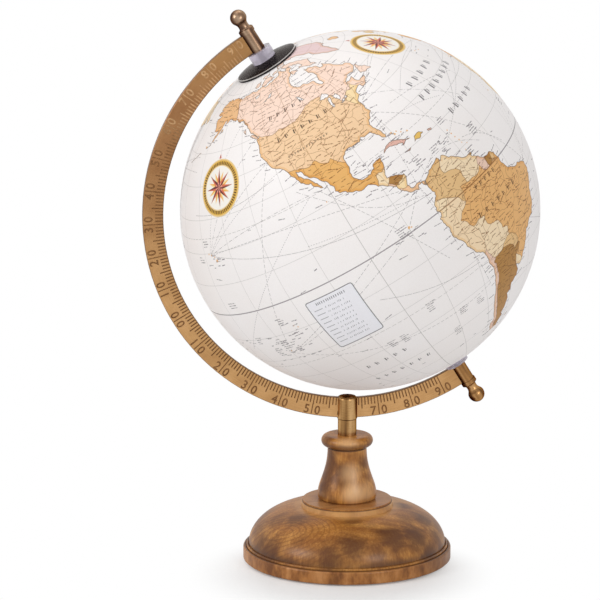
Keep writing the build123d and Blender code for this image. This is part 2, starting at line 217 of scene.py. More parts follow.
south_america = [
    (-77.3, 8.6), (-75.6, 10.6), (-74.2, 11.3), (-71.8, 12.4), (-71.3, 11), (-70, 12.1), (-68.2, 10.7),
    (-64.8, 10.2), (-62, 10.7), (-60, 8.5), (-57.5, 6.2), (-54, 5.9), (-51.5, 4.3), (-50, 1.8), (-50, 0),
    (-48.5, -1.3), (-44.5, -2.8), (-41, -2.9), (-38.5, -3.7), (-35.4, -5.2), (-34.8, -7.5), (-36.8, -10.7),
    (-38.9, -13), (-39.1, -16.5), (-39.8, -19.5), (-41, -22), (-44.5, -23.1), (-47.5, -25), (-48.6, -27.5),
    (-50.5, -30.5), (-53.4, -34), (-56, -34.9), (-58.3, -34), (-57, -36.5), (-58, -38.2), (-62, -39),
    (-62.4, -40.9), (-65, -41), (-64, -42.6), (-65.4, -45), (-67.4, -46.2), (-65.9, -47.8), (-68.4, -50.2),
    (-69, -52), (-68.4, -52.6), (-66.5, -54.8), (-68.5, -55.4), (-72, -54), (-74.5, -52.5), (-75.4, -49),
    (-75.5, -46.7), (-73, -44.8), (-73.8, -41.8), (-73.4, -38.5), (-72.3, -35.2), (-71.6, -32), (-71.4, -29),
    (-70.4, -25), (-70.2, -19.5), (-71.5, -17.3), (-75.5, -15), (-77, -12.3), (-79, -8.2), (-80.9, -6),
    (-81.3, -4.5), (-80, -3), (-80.9, -1.8), (-80.2, 0.5), (-78.8, 1.8), (-77.2, 3.9), (-77.6, 7)]

eurasia = [
    (25.7, 71.1), (31, 70.3), (36, 69.1), (41, 67.5), (40.5, 66.3), (33, 66.6), (35, 64.3), (38, 64),
    (40.5, 64.6), (42, 66.4), (44, 66.1), (44, 68.5), (48, 67.6), (54, 68.4), (60, 69), (66, 69), (69, 68.5),
    (67, 71), (69, 72.9), (72.5, 72.8), (73.6, 67.5), (76, 72), (81, 73.5), (87, 75), (93, 76), (100, 76.5),
    (104.3, 77.7), (112, 76), (113.5, 73.7), (119, 73), (127, 73.5), (129.5, 71.2), (139, 72.3), (146, 72.4),
    (152, 70.9), (160, 69.7), (168, 69.7), (176, 69.6), (180, 68.9), (186, 67.2), (189.6, 66.1),
    (186.5, 64.4), (181, 65), (178.5, 64.5), (179.3, 62.5), (174, 61.7), (170, 60), (164, 59.9), (163, 57.8),
    (162.2, 55), (160, 53.2), (156.7, 51), (155.7, 55), (157.5, 58), (163, 61), (160, 61.8), (155, 59.3),
    (149, 59.5), (142.5, 59.3), (137, 54.2), (141, 53), (140.5, 50), (140.3, 48), (135.5, 44), (132, 43.2),
    (129.8, 41.5), (127.5, 39.7), (129.4, 37), (129, 35.2), (126.4, 34.5), (126.7, 37.5), (125, 39.5),
    (121.3, 39), (122, 40.7), (119, 39.2), (117.7, 38.6), (119, 37.2), (122.5, 37.2), (119.3, 35),
    (121.8, 32), (121.9, 29.5), (119.5, 25.5), (116.5, 23), (113.5, 22.2), (110, 20.4), (109.5, 21.6),
    (106.7, 20.3), (105.8, 18.8), (108.8, 15.5), (109.3, 12), (106.8, 10.3), (105, 8.7), (104.8, 10.4),
    (102.5, 12), (100.6, 13.4), (99.3, 10.5), (100.5, 7.2), (103.4, 4.2), (104.2, 1.4), (101.3, 2.9),
    (100.3, 6), (98.3, 8.3), (98.7, 12), (97.6, 16.4), (95.3, 15.8), (94.3, 18.5), (91.8, 22.3),
    (88.8, 21.7), (86.9, 20.8), (82.3, 16.7), (80.2, 15.2), (80, 12.5), (78.2, 8.9), (77.5, 8.1), (76, 10.5),
    (74.5, 14), (73, 18), (72.7, 21), (70.5, 20.8), (69, 22.4), (66.8, 25), (61.6, 25.1), (57.3, 25.7),
    (56.5, 27.1), (52.5, 27.6), (50.2, 30), (48, 30), (48.5, 28), (50.2, 26.6), (51.5, 24.2), (54, 24.2),
    (56.3, 26.2), (56.6, 24.4), (59.8, 22.5), (57.7, 19), (55, 17), (52, 15.6), (45, 12.9), (43.4, 12.7),
    (42.7, 16.5), (39.2, 21), (37.2, 24.5), (35, 28), (34.9, 29.5), (34.3, 31.3), (35.5, 34), (36, 36.8),
    (33, 36.1), (30.6, 36.7), (27.5, 36.8), (26.3, 39.3), (29, 40.8), (33.5, 42), (36, 41.3), (41.5, 41.5),
    (39, 44.2), (37, 45), (39, 47.2), (35, 46.2), (36.4, 45.3), (33.7, 44.5), (33.5, 46), (30.7, 46.4),
    (28.6, 43.8), (28, 42), (28.6, 41.4), (26.5, 40.7), (23.5, 40.4), (23, 39.2), (24, 37.7), (22.5, 36.6),
    (21.3, 38), (19.4, 40.5), (19.4, 41.9), (15.5, 43.8), (13.6, 45.4), (12.3, 44.9), (13.6, 43.5),
    (16, 41.9), (18.4, 40.2), (16.9, 40.4), (16, 38), (15.7, 40), (12.3, 41.7), (10.2, 43.9), (8.7, 44.4),
    (6, 43.1), (3.1, 43.1), (3.2, 41.8), (0.2, 40.6), (-0.3, 38.6), (-2.1, 36.8), (-5.5, 36), (-8.9, 37),
    (-9.4, 38.8), (-8.8, 42), (-9, 43.2), (-1.9, 43.4), (-1.2, 46), (-4.6, 48.3), (-1.5, 48.7),
    (-1.8, 49.7), (0.2, 49.6), (1.6, 50.9), (4.2, 52), (6, 53.4), (8.6, 53.7), (8.2, 56.8), (10.6, 57.7),
    (10.3, 55), (12.5, 54.3), (14.2, 53.9), (18.5, 54.8), (21, 55), (21.3, 57.3), (24, 57.2), (23.5, 59.2),
    (28, 59.6), (29.5, 60), (25, 60.2), (22.3, 60.2), (21.3, 62.8), (25.2, 65), (22.2, 65.8), (21, 64),
    (17.3, 61.8), (18.7, 60), (16.5, 57), (14.3, 55.5), (12.8, 56), (11.2, 59), (10.4, 59.3), (7.5, 58),
    (5.3, 59.2), (5, 62), (10, 64), (14, 67.3), (19, 69.8)]

africa = [
    (-6, 35.8), (-2, 35.1), (3, 36.8), (9.8, 37.3), (11, 35.5), (10.2, 34), (15.2, 32.3), (19, 30.3),
    (20, 32.5), (23, 32.6), (29, 30.9), (32.3, 31.2), (34.5, 31.2), (34.6, 29.5), (32.6, 29.9), (34, 27),
    (35.5, 24), (37.2, 20.8), (38.6, 18), (41.2, 14.7), (43.2, 12.2), (44, 10.5), (51.2, 11.9), (50.8, 9.3),
    (48, 4.6), (44, 1), (41.5, -1.8), (39.2, -5), (39.5, -8.5), (40.6, -11), (40.6, -15.5), (36.9, -17.9),
    (34.8, -20), (35.5, -23.8), (32.8, -26), (32.5, -28.5), (30, -31.3), (26.5, -33.9), (20, -34.8),
    (18.3, -34), (18, -31.5), (15.3, -27), (14.4, -22.5), (11.8, -18), (13.8, -11), (12.2, -6), (9, -1),
    (9.6, 3.8), (8.5, 4.6), (6, 4.3), (4.4, 6.3), (1, 5.9), (-2, 4.8), (-4.5, 5.2), (-7.7, 4.4),
    (-11.4, 6.8), (-13.3, 9), (-16.7, 12.4), (-17.5, 14.7), (-16.3, 17), (-16.3, 19.5), (-17, 21),
    (-14.8, 25.5), (-13, 27.8), (-9.8, 29.8), (-9.6, 31), (-6.8, 34)]

australia = [
    (142.5, -10.8), (143.8, -14.3), (145.4, -15), (146.5, -19), (150.8, -23), (153.3, -25.5),
    (153.2, -29.5), (150.5, -35.5), (149.9, -37.5), (146.4, -39), (143.5, -38.7), (140.3, -37.8),
    (138.3, -35.5), (137.8, -33), (135.8, -34.8), (132, -32), (126, -32.3), (123.5, -33.9), (118, -35),
    (115.1, -34.2), (115.7, -31.8), (113.6, -26.5), (113.8, -22.5), (118, -20.4), (121.5, -19),
    (122.3, -17.2), (125.5, -14.3), (128.5, -14.9), (130.5, -12.4), (132.6, -11.4), (136.8, -12.2),
    (135.7, -15), (139.2, -17.4), (140.9, -17.5), (141.6, -13.5)]

greenland = [
    (-73, 78.2), (-68, 80), (-60, 81.6), (-45, 82), (-32, 82.4), (-22, 81.6), (-18, 80), (-19.5, 77),
    (-20, 74.5), (-22.5, 72), (-22.5, 70.3), (-27, 68.5), (-33, 67.5), (-38, 65.8), (-41, 63.5), (-43.5, 60),
    (-46, 60.8), (-49.5, 62.5), (-52, 65), (-53.8, 67.5), (-51, 69.5), (-54.5, 71), (-56, 73.5), (-60, 76),
    (-66, 76)]

antarctic_coast = [
    (-169.5, -78.5), (-158, -77), (-146, -75.5), (-125, -73.8), (-102, -74.8), (-92, -73), (-80, -73.5),
    (-74, -70), (-67, -67), (-60.5, -63.5), (-58, -63.6), (-61, -66), (-63, -71), (-61, -75), (-50, -78),
    (-36, -78), (-26, -75.5), (-12, -71.5), (5, -70), (20, -70), (38, -69.5), (50, -66.5), (60, -67.3),
    (70, -69.5), (80, -67.5), (95, -66.5), (110, -66.3), (125, -66.8), (140, -66.6), (150, -68.5),
    (165, -70.6), (171, -72), (165, -77.5), (180, -78.3), (190.5, -78.5)]

islands = {
    "ice": [
        [(-61.5, 66.8), (-64, 67.9), (-68, 70), (-72, 71.5), (-78, 73.6), (-85, 73.7), (-89, 73), (-85, 70.5),
         (-80, 70), (-76, 69.2), (-72.5, 67.5), (-73, 65.5), (-78, 64.7), (-74, 64.3), (-70, 62.6),
         (-65.8, 61.9), (-65.5, 63), (-68, 63.7), (-65, 65.5)],
        [(-117, 71.3), (-114, 73), (-108, 73), (-105, 72.5), (-102, 69.3), (-106, 68.9), (-113, 68.5),
         (-117, 70)],
        [(-125, 72), (-123, 73.8), (-118, 74), (-119, 72), (-123, 71.2)],
        [(-90, 76.6), (-87, 79.5), (-80, 80.8), (-70, 82), (-62, 81.8), (-68, 80.5), (-74, 78.5),
         (-79, 76.4)],
        [(-92, 75), (-80, 74.7), (-80, 75.7), (-91, 76.3)],
        [(-102, 71.5), (-97, 71.6), (-91, 73.6), (-95, 74), (-100, 73.8), (-102.5, 72.8)],
        [(-116, 75.2), (-106, 75), (-105, 76), (-113, 76.4)],
        [(-87, 63.6), (-81, 64), (-84, 65.6), (-86, 65.5)],
        [(-59.3, 47.7), (-55.8, 47), (-53, 46.7), (-53.5, 48.6), (-55.5, 50), (-55.6, 51.5), (-57.5, 50.2)],
        [(-123.4, 48.4), (-125.2, 48.8), (-128.3, 50.6), (-127, 50.8), (-124.5, 49.4)],
        [(-131.3, 52.2), (-133, 53.8), (-131.7, 54)]],
    "rust": [
        [(-154.5, 57), (-152.5, 57.4), (-153, 58)],
        [(-24, 65.5), (-22.5, 66.4), (-18, 66.1), (-14.7, 65.8), (-14, 64.6), (-18.5, 63.4), (-22.5, 63.9),
         (-22, 65)],
        [(-5.5, 50.1), (-3, 51.4), (-5, 51.8), (-4.5, 53.3), (-3, 54), (-5, 55), (-5.8, 57.5), (-4.8, 58.6),
         (-2, 57.5), (-1.5, 55), (0.3, 53), (1.7, 52.6), (1.2, 51.2), (-2, 50.6)],
        [(172.7, -34.5), (175.5, -36.7), (178.5, -37.8), (177, -39.5), (175.3, -41.5), (173.8, -39.3),
         (174.7, -37)],
        [(172.7, -40.6), (174.2, -41.6), (171, -44.8), (169, -46.6), (166.5, -45.9), (170.8, -42.8)],
        [(131, 34.2), (135.7, 35.6), (139.5, 38.5), (140, 41.2), (141.5, 41.3), (142, 39.5), (140.9, 36),
         (139.8, 35), (136.8, 34.4), (135.7, 33.6), (132.5, 34.2)],
        [(130, 33.3), (131.8, 33.6), (131.3, 31.4), (130.2, 31.3)],
        [(140, 41.6), (141.7, 45.4), (145.3, 43.3), (143.2, 42)]],
    "coral": [
        [(-84.9, 21.9), (-83, 23), (-80.5, 23.1), (-77, 21.8), (-74.2, 20.2), (-77.5, 19.9), (-77.2, 20.6),
         (-78.5, 21.2), (-81.8, 22.3)],
        [(-78.3, 18.3), (-76.3, 18.1), (-77, 17.8)],
        [(-67.2, 18.4), (-65.6, 18.4), (-65.8, 18), (-67.2, 18)],
        [(49.3, -12), (50.4, -15.7), (47.1, -25), (44.3, -24.8), (43.4, -21.8), (44.5, -16.3), (47.8, -13.6)],
        [(79.8, 9.5), (81.8, 7.5), (80.3, 6)],
        [(120.4, 18.5), (122.2, 18.4), (121.7, 15), (124, 12.8), (120.7, 13.8), (119.9, 16)],
        [(122, 7), (125.3, 9.7), (126.5, 7.5), (125.4, 5.7), (123.5, 7.6)]],
    "gold": [
        [(-73.6, 18.4), (-72.6, 19.5), (-70.2, 19.4), (-69.2, 18.6), (-71, 18)],
        [(-61.8, 10.1), (-61.6, 10.7), (-60.9, 10.8), (-61, 10.1)],
        [(-10, 52), (-6.3, 52.2), (-5.6, 54.5), (-8.2, 55.3), (-10, 54.2)],
        [(144.7, -40.7), (148.3, -40.9), (147.5, -43.3), (146, -43.4)],
        [(131, -0.8), (134.2, -0.9), (135.2, -3.2), (138, -1.7), (141, -2.6), (145.5, -4.5), (147.8, -6.2),
         (150.8, -10.4), (147, -9.3), (143.5, -8.4), (138, -8.3), (138.5, -6), (133, -4), (132.5, -2.7)],
        [(120.2, 23), (121.5, 25.2), (121, 22)],
        [(108.7, 19.2), (110.9, 20), (109.7, 18.3)],
        [(12.5, 38), (15.6, 38.2), (15.1, 36.7)],
        [(8.3, 40.9), (9.7, 40.9), (9.5, 39.1), (8.5, 39)]],
    "tan": [
        [(109.2, 1.5), (111.4, 2.6), (115, 5), (117, 7), (119, 5), (117.8, 1), (116.3, -3.8), (113, -3.2),
         (110.2, -2.8)],
        [(95.3, 5.6), (98, 4.3), (103, 0.5), (106, -3), (105.8, -5.8), (102.3, -4), (98.8, 1.5)],
        [(105.3, -6.7), (108.5, -6.5), (112.5, -6.9), (114.5, -8.5), (108, -7.8)],
        [(119.5, -5.5), (120.5, -3), (122.5, -4.8), (121, -1), (125, 1.5), (120, 0.8), (119, -2.8)],
        [(142.2, 46), (143.2, 49), (143.3, 52), (142.7, 54.2), (141.9, 52), (142, 48)],
        [(11, 79.5), (20, 80.3), (25, 79.5), (21, 78.2), (16.5, 76.6), (13.5, 78)],
        [(51.8, 71.5), (56, 74), (62, 76), (68.5, 76.8), (60, 74.5), (56, 71)],
        [(95, 79.5), (102, 79.4), (104, 78.4), (98, 78.3)],
        [(138, 75.5), (145, 75.7), (149, 75), (142, 73.8)],
        [(-61, -51.3), (-58, -51.4), (-58.8, -52.2), (-60.8, -52)]]}

lakes = [
    [(-92, 46.8), (-89.5, 48), (-87, 48.7), (-84.8, 47.5), (-84.7, 46.6), (-87.5, 46.5), (-90.5, 46.7)],
    [(-87.8, 42), (-87.7, 44.5), (-86.8, 45.8), (-85.3, 45.8), (-86.4, 44), (-86.4, 42.4), (-87.2, 41.7)],
    [(-84.3, 45.9), (-81, 45.9), (-80.2, 44.6), (-81.6, 43.4), (-82.4, 43.1), (-83.5, 44.2), (-83.5, 45.3)],
    [(-83.2, 41.8), (-81.5, 42.5), (-79, 42.8), (-80.5, 42), (-82.5, 41.5)],
    [(-79.7, 43.3), (-77.5, 43.9), (-76.3, 44), (-76.4, 43.5), (-78.8, 43.3)],
    [(-98.5, 53.5), (-97, 53), (-96.6, 51), (-97.3, 51), (-98.5, 52.5)],
    [(-117, 61.2), (-112, 62.5), (-110, 62.6), (-113, 61.2)],
    [(-124, 66.5), (-119.5, 66.8), (-120, 65.5), (-123, 65.2)],
    [(47.5, 44.8), (49.5, 46.5), (53, 46.8), (53, 45), (51, 44.5), (52.5, 42), (53.5, 40), (53.8, 37),
     (50.5, 37), (49, 39), (49.5, 41), (47.7, 43)]]

# Courses of the rivers.
rivers = [
    [(-95, 47.5), (-91, 43), (-90.2, 38.7), (-89.2, 36.8), (-91, 33), (-91.2, 30.5), (-89.4, 29.2)],
    [(-112, 46), (-107, 47.8), (-101, 46.8), (-97, 42.6), (-94.5, 39.1), (-90.2, 38.7)],
    [(-80, 40.4), (-84.5, 39), (-89.2, 36.8)], [(-103, 35.3), (-97, 35.6), (-91.5, 33.8)],
    [(-106, 40), (-110, 38), (-114.5, 36), (-114.8, 32.5)], [(-117, 50), (-119, 46.2), (-124, 46.2)],
    [(-114, 58), (-117, 61), (-122, 62), (-127, 65), (-134, 69)], [(-135, 61), (-141, 64.8), (-157, 64.5)],
    [(-76.3, 44.2), (-72, 46.5), (-69, 48.3)], [(-114, 51), (-107, 53), (-101, 53.5), (-97, 57), (-93, 57)],
    [(-73, -4.5), (-69.9, -4.2), (-63, -3.5), (-58, -2.6), (-53, -1.8), (-50, -0.5)],
    [(-69, 1.5), (-65, -0.5), (-60, -3)], [(-66, -11), (-63.5, -8.5), (-58.8, -3.3)],
    [(-57, -11), (-57.5, -7), (-55, -2.5)], [(-54, -13), (-52.5, -6), (-52, -1.8)],
    [(-49, -15), (-48.5, -7), (-49, -1.5)], [(-46, -20), (-43.5, -14), (-40, -9), (-36.5, -10.5)],
    [(-47, -20), (-52, -21.5), (-54.5, -25.5), (-58, -27.3), (-60.5, -32), (-58.4, -34.2)],
    [(-57, -16), (-57.8, -20), (-58.5, -27)], [(-64, 2.5), (-67.5, 4), (-67, 7.5), (-62, 8.6)],
    [(-76, 2), (-75, 6), (-74.5, 10.8)]]

# Rows of wide spaced signs: west and east end, latitude, how many, and their height.
headings = [
    (-115.2, -95, 57, 5, 1.5), (-114.2, -88.9, 47.9, 7, 1.5), (-112.4, -94.6, 40.9, 14, 0.8),
    (-52.2, -33, 36.2, 5, 2.2), (-54.6, -25.4, 30.5, 8, 2.2), (-50.6, -33.7, 21, 5, 2.2),
    (-131.1, -114, -36.4, 5, 1.6), (-135.1, -108.5, -45.5, 7, 1.6), (-63.1, -53.2, -1.6, 5, 1.4),
    (-66.8, -47.1, -9.7, 7, 1.5), (-20, 2, -22, 5, 2), (12, 34, 8, 6, 1.6), (65, 85, -16, 6, 2),
    (125, 145, -24, 9, 1.6), (70, 100, 58, 4, 1.8), (150, 172, 22, 6, 2)]

# Blocks of small print at sea, by the start of their first row.
blocks = [
    (-162, 4), (-145, -5), (-161, -10), (-156, -15.5), (-151, -13), (-146, -17), (-94, 3), (-117, -30),
    (-112, -30), (-51, 14), (-69, 17), (-76, 18), (-164, 25), (-169, 20), (-80, -35), (-88, -34), (-93, -41),
    (-98, -24), (-59, 22), (-58, 9), (-86, 25), (60, -8), (88, 8), (160, 15), (165, -5), (-22, 10),
    (-10, -15), (140, 25)]

# Small print round the groups of islands: longitude, latitude, how far it spreads, and how many words.
island_groups = [
    (-158, 18.5, 3, 12), (-148, -16, 8, 34), (-141, -9, 4, 9), (-168, -12, 3, 6), (178, -17, 8, 16),
    (150, 8, 20, 24), (-89, -1, 3, 6), (-63, 15, 3, 12), (-74, 26, 4, 12), (-80, 18, 5, 14),
    (-91, 25, 4, 9), (-25, 38, 6, 6), (60, -20, 8, 10)]

# Small islands: longitude, latitude and half their width, in degrees.
islets = [
    (-155.5, 19.6, 0.55), (-156.4, 20.8, 0.3), (-158, 21.5, 0.3), (-159.5, 22, 0.28), (-78.2, 25.1, 0.4),
    (-77.3, 24.2, 0.35), (-76.2, 24.6, 0.25), (-75, 23.5, 0.25), (-73, 22.4, 0.3), (-61.7, 17, 0.22),
    (-61.5, 16.2, 0.3), (-61.4, 15.4, 0.22), (-61, 14.6, 0.25), (-61, 13.9, 0.2), (-59.5, 13.2, 0.2),
    (-61.7, 12.1, 0.18), (-91.1, -0.5, 0.45), (-90.3, -0.8, 0.25), (-149.5, -17.6, 0.3), (-139, -9.8, 0.25),
    (-140.2, -8.9, 0.25), (-171.8, -13.8, 0.4), (-110.3, 18.8, 0.2), (-25.5, 37.8, 0.3), (-28.3, 38.6, 0.25),
    (-17, 32.7, 0.25), (-16.5, 28.3, 0.35), (-15, 28.4, 0.3), (-24, 15, 0.3), (55.5, -21.1, 0.3),
    (57.6, -20.3, 0.3), (178, -17.8, 0.5), (165.5, -21.3, 0.6), (160, -9.5, 0.5), (167, -15.5, 0.4),
    (144.8, 13.5, 0.25), (70, -49.3, 0.6), (-36.5, -54.4, 0.5), (-169.3, 53, 0.5), (-166.8, 53.8, 0.45)]

# Ship routes by their two ends. Many of them meet at the same four places.
hub, isthmus, gate, bay = (-160.9, 20.4), (-80, 10.6), (-122.6, 42.6), (-118.4, 38)
routes = [
    (hub, gate), (hub, bay), (hub, (-124.8, 53)), (hub, isthmus), (hub, (-134, 61)), (hub, (-112, 26.5)),
    (isthmus, (-91, 0.4)), (isthmus, (-79, -12)), (isthmus, (-72.2, -33)), (isthmus, (-149.5, -18.5)),
    (isthmus, (-74, 42.5)), (isthmus, (-62, 18)), (gate, (-149.5, -18.5)), ((-112, 26), (-168, -14.5)),
    ((-91, 0.4), (-149.5, -18.5)), ((-72.2, -33), (-149.5, -18.5)), ((-73, 43), (-9, 52)),
    ((-73, 43), (-9.5, 41)), ((-75, 38), (-34, -8)), ((-62, 48), (-9, 55)), ((-34, -9), (-17, 15)),
    ((-43, -24.5), (18, -36)), ((-34, -9), (-9.5, 38)), ((-57, -38), (18, -36)), ((20, -37), (115, -35)),
    ((44, 12), (72, 19)), ((73, 18), (103, 1)), ((44, 12), (115, -33)), ((104, 1), (122, 31)),
    ((140, 37), (122, 31)), ((141, 37), (189, 52)), ((153, -29), (174, -38)), ((153, -30), (178, -18)),
    ((140, 36), (153, -25)), ((174, -37), (189, -14)), ((20, -37), (51, -10)), ((51, -10), (73, 18)),
    ((-16, 29), (-62, 15)), ((3, 6), (-34, -8)), ((142, 40), (189, 47))]

# Routes that leave the shortest way, with how far they hang below it in degrees.
bowed_routes = [
    (hub, (-79.6, 6.4), 6), ((-120.3, 12.7), (-81.4, 7.8), 0.8), ((-115.7, 29.5), (-80.2, 7), 5.5),
    ((-108, 26), (-83.5, -14.6), -1), ((-168, 33.4), (-122, 36.5), 4), ((-71, 44.5), (-39.8, 21), 0),
    ((-66.3, 36.2), (-30, 28.4), 0), ((-24, 43), (-59.4, 36.4), -1.5), ((-5.5, 36.6), (-49.2, 20.1), -0.5),
    ((-55.8, 12.9), (-40.6, 2.2), -2), ((-80.5, 31.8), (-48.2, 26.7), -1.2),
    ((-71.3, 14.4), (-50.3, 8), -2.5), ((-109.7, -13.5), (-74.2, -22.8), 1)]

# Broken lines: dash, gap, dash, gap ... in degrees.
route_patterns = [(1.1, 0.5), (0.5, 0.4), (1.6, 0.5, 0.3, 0.5)]
long_dashes = (2.4, 0.2)
circle_dashes = (1.5, 0.6)
chain_dashes = (1.3, 0.35)

# The graticule: its steps, the meridian that is printed bold, and where the tropics and polar circles are.
meridian_step, parallel_step = 15, 10.6
bold_meridian, bold_width = -105, 0.24
circles = (25.9, -24.4, 70.5, -68)

# How wide the lines of each ink are, in degrees.
line_widths = {
    "shore": 1.5, "graticule": 0.13, "tropic": 0.13, "province": 0.12, "river": 0.15, "border": 0.16,
    "route": 0.15, "coast": 0.2, "equator": 0.36, "panel_edge": 0.3}

# The compass roses: the middle of each, and its reach in degrees.
roses = [((-150.3, 41.0), 9.2), ((-28, 52.8), 8.8), ((78, -32), 9.0)]

# A rose's rings from the outside in: the share of its reach, and the ink within.
rose_rings = [(1.0, "gilt_pale"), (0.95, "gilt"), (0.79, "gilt_pale"), (0.75, "rose_ground")]

# Lands of the two Americas, each an outline and a tint. A later one lies over an earlier one.
american_lands = [
    ("rust", [(-172, 50), (-150, 50), (-137, 56), (-134, 54), (-130.2, 54.8), (-130, 56), (-133.5, 58.4),
              (-135.3, 59.6), (-137.5, 58.9), (-141, 60.3), (-141, 72), (-172, 73)]),
    ("apricot", [(-127, 48.4), (-123.2, 48.9), (-123, 49), (-95, 49), (-89.5, 48), (-84.5, 46.5),
                 (-82.5, 45), (-82.5, 42.5), (-79, 42.8), (-76.5, 44.2), (-74.7, 45), (-71.3, 45.2),
                 (-69.2, 47.4), (-67.8, 45.7), (-66.9, 44.6), (-66, 40), (-74, 32), (-78, 24), (-84, 24),
                 (-90, 27), (-95.5, 25.9), (-97.2, 25.9), (-99.5, 27.5), (-101.4, 29.8), (-103, 29),
                 (-104.5, 29.6), (-106.5, 31.8), (-108.2, 31.3), (-111, 31.3), (-114.8, 32.5),
                 (-117.1, 32.5), (-121, 32), (-127, 40)]),
    ("straw", [(-74.7, 45), (-71.3, 45.2), (-69.2, 47.4), (-67.8, 45.7), (-66.9, 44.6), (-68, 41),
               (-72.5, 40.4), (-75.4, 39), (-77, 40), (-79.8, 42.2), (-76.5, 44.2)]),
    ("amber", [(-97.2, 25.9), (-99.5, 27.5), (-101.4, 29.8), (-103, 29), (-104.5, 29.6), (-106.5, 31.8),
               (-108.2, 31.3), (-111, 31.3), (-114.8, 32.5), (-117.1, 32.5), (-119, 31), (-116, 26),
               (-110, 21), (-104, 17), (-96, 14.5), (-92.2, 14.3), (-91.4, 16), (-91, 17.8), (-89.2, 17.8),
               (-88.3, 18.5), (-86, 19), (-86, 22.5), (-92, 22.5), (-96, 24)]),
    ("cream", [(-92.2, 14.3), (-91.4, 16), (-91, 17.8), (-89.2, 17.8), (-88.3, 18.5), (-87.6, 17),
               (-88.3, 15.6), (-89.3, 14.4), (-90, 13.2)]),
    ("umber", [(-88.3, 15.6), (-89.3, 14.4), (-87.4, 13), (-86, 13.8), (-83.2, 15), (-83.2, 16.4),
               (-87, 16.8)]),
    ("straw", [(-87.4, 13), (-86, 13.8), (-83.2, 15), (-82.8, 12), (-83.6, 10.9), (-85.7, 11.1),
               (-88, 12)]),
    ("peach", [(-83.6, 10.9), (-85.7, 11.1), (-87, 10), (-84, 7), (-80, 6.5), (-77.6, 6.8), (-77.3, 8.6),
               (-79, 10.5), (-82.4, 10)]),
    ("olive", [(-77.3, 8.6), (-75, 13), (-71.3, 12.2), (-72.5, 9), (-72, 7.2), (-67.5, 6.2), (-67, 1.2),
               (-69.8, 1), (-69.9, -4.2), (-75.2, -0.1), (-77.5, 0.8), (-79, 1.5), (-81, 3), (-79, 6.5)]),
    ("ivory", [(-71.3, 12.2), (-72.5, 9), (-72, 7.2), (-67.5, 6.2), (-67, 1.2), (-64, 2), (-60.7, 5),
               (-61.3, 6), (-60, 8.5), (-60.5, 12), (-68, 13)]),
    ("rose", [(-60, 8.5), (-61.3, 6), (-60.7, 5), (-59.8, 2), (-58, 1.5), (-56.5, 2), (-57.3, 5),
              (-57, 7)]),
    ("umber", [(-57, 7), (-57.3, 5), (-56.5, 2), (-54.5, 2.3), (-54, 4), (-54, 7)]),
    ("olive", [(-54, 7), (-54, 4), (-54.5, 2.3), (-52.5, 2.3), (-51.5, 4.5), (-51, 6)]),
    ("cream", [(-79, 1.5), (-77.5, 0.8), (-75.2, -0.1), (-78, -3.5), (-79, -5), (-80.4, -4.4), (-83, -3),
               (-83, 2)]),
    ("wheat", [(-75.2, -0.1), (-69.9, -4.2), (-73, -6.5), (-74, -8), (-70.5, -11), (-69, -12.5),
               (-69.5, -17.5), (-70.4, -18.4), (-76, -18), (-83, -8), (-83, -3), (-80.4, -4.4), (-79, -5),
               (-78, -3.5)]),
    ("ivory", [(-70.5, -11), (-65.4, -10), (-65.4, -12), (-60.5, -13.8), (-60, -16.3), (-57.8, -17),
               (-58, -20), (-62.5, -22), (-64.5, -22.8), (-67, -22.8), (-69.5, -17.5), (-69, -12.5)]),
    ("rose", [(-69.5, -17.5), (-67, -22.8), (-69.5, -28), (-70, -33), (-71.5, -37), (-71.8, -43),
              (-72.5, -50), (-68.6, -52.5), (-68.6, -57), (-79, -57), (-79, -20), (-76, -18),
              (-70.4, -18.4)]),
    ("umber", [(-67, -22.8), (-64.5, -22.8), (-62.5, -22), (-58, -24.8), (-57.5, -27.3), (-54.6, -26),
               (-53.7, -27), (-57.6, -30.2), (-58.4, -34.2), (-54, -38), (-60, -57), (-68.6, -57),
               (-68.6, -52.5), (-72.5, -50), (-71.8, -43), (-71.5, -37), (-70, -33), (-69.5, -28)]),
    ("olive", [(-58, -20), (-62.5, -22), (-58, -24.8), (-57.5, -27.3), (-54.6, -26), (-54.3, -24)]),
    ("cream", [(-57.6, -30.2), (-53.4, -33.7), (-52, -36), (-58.4, -34.2)])]

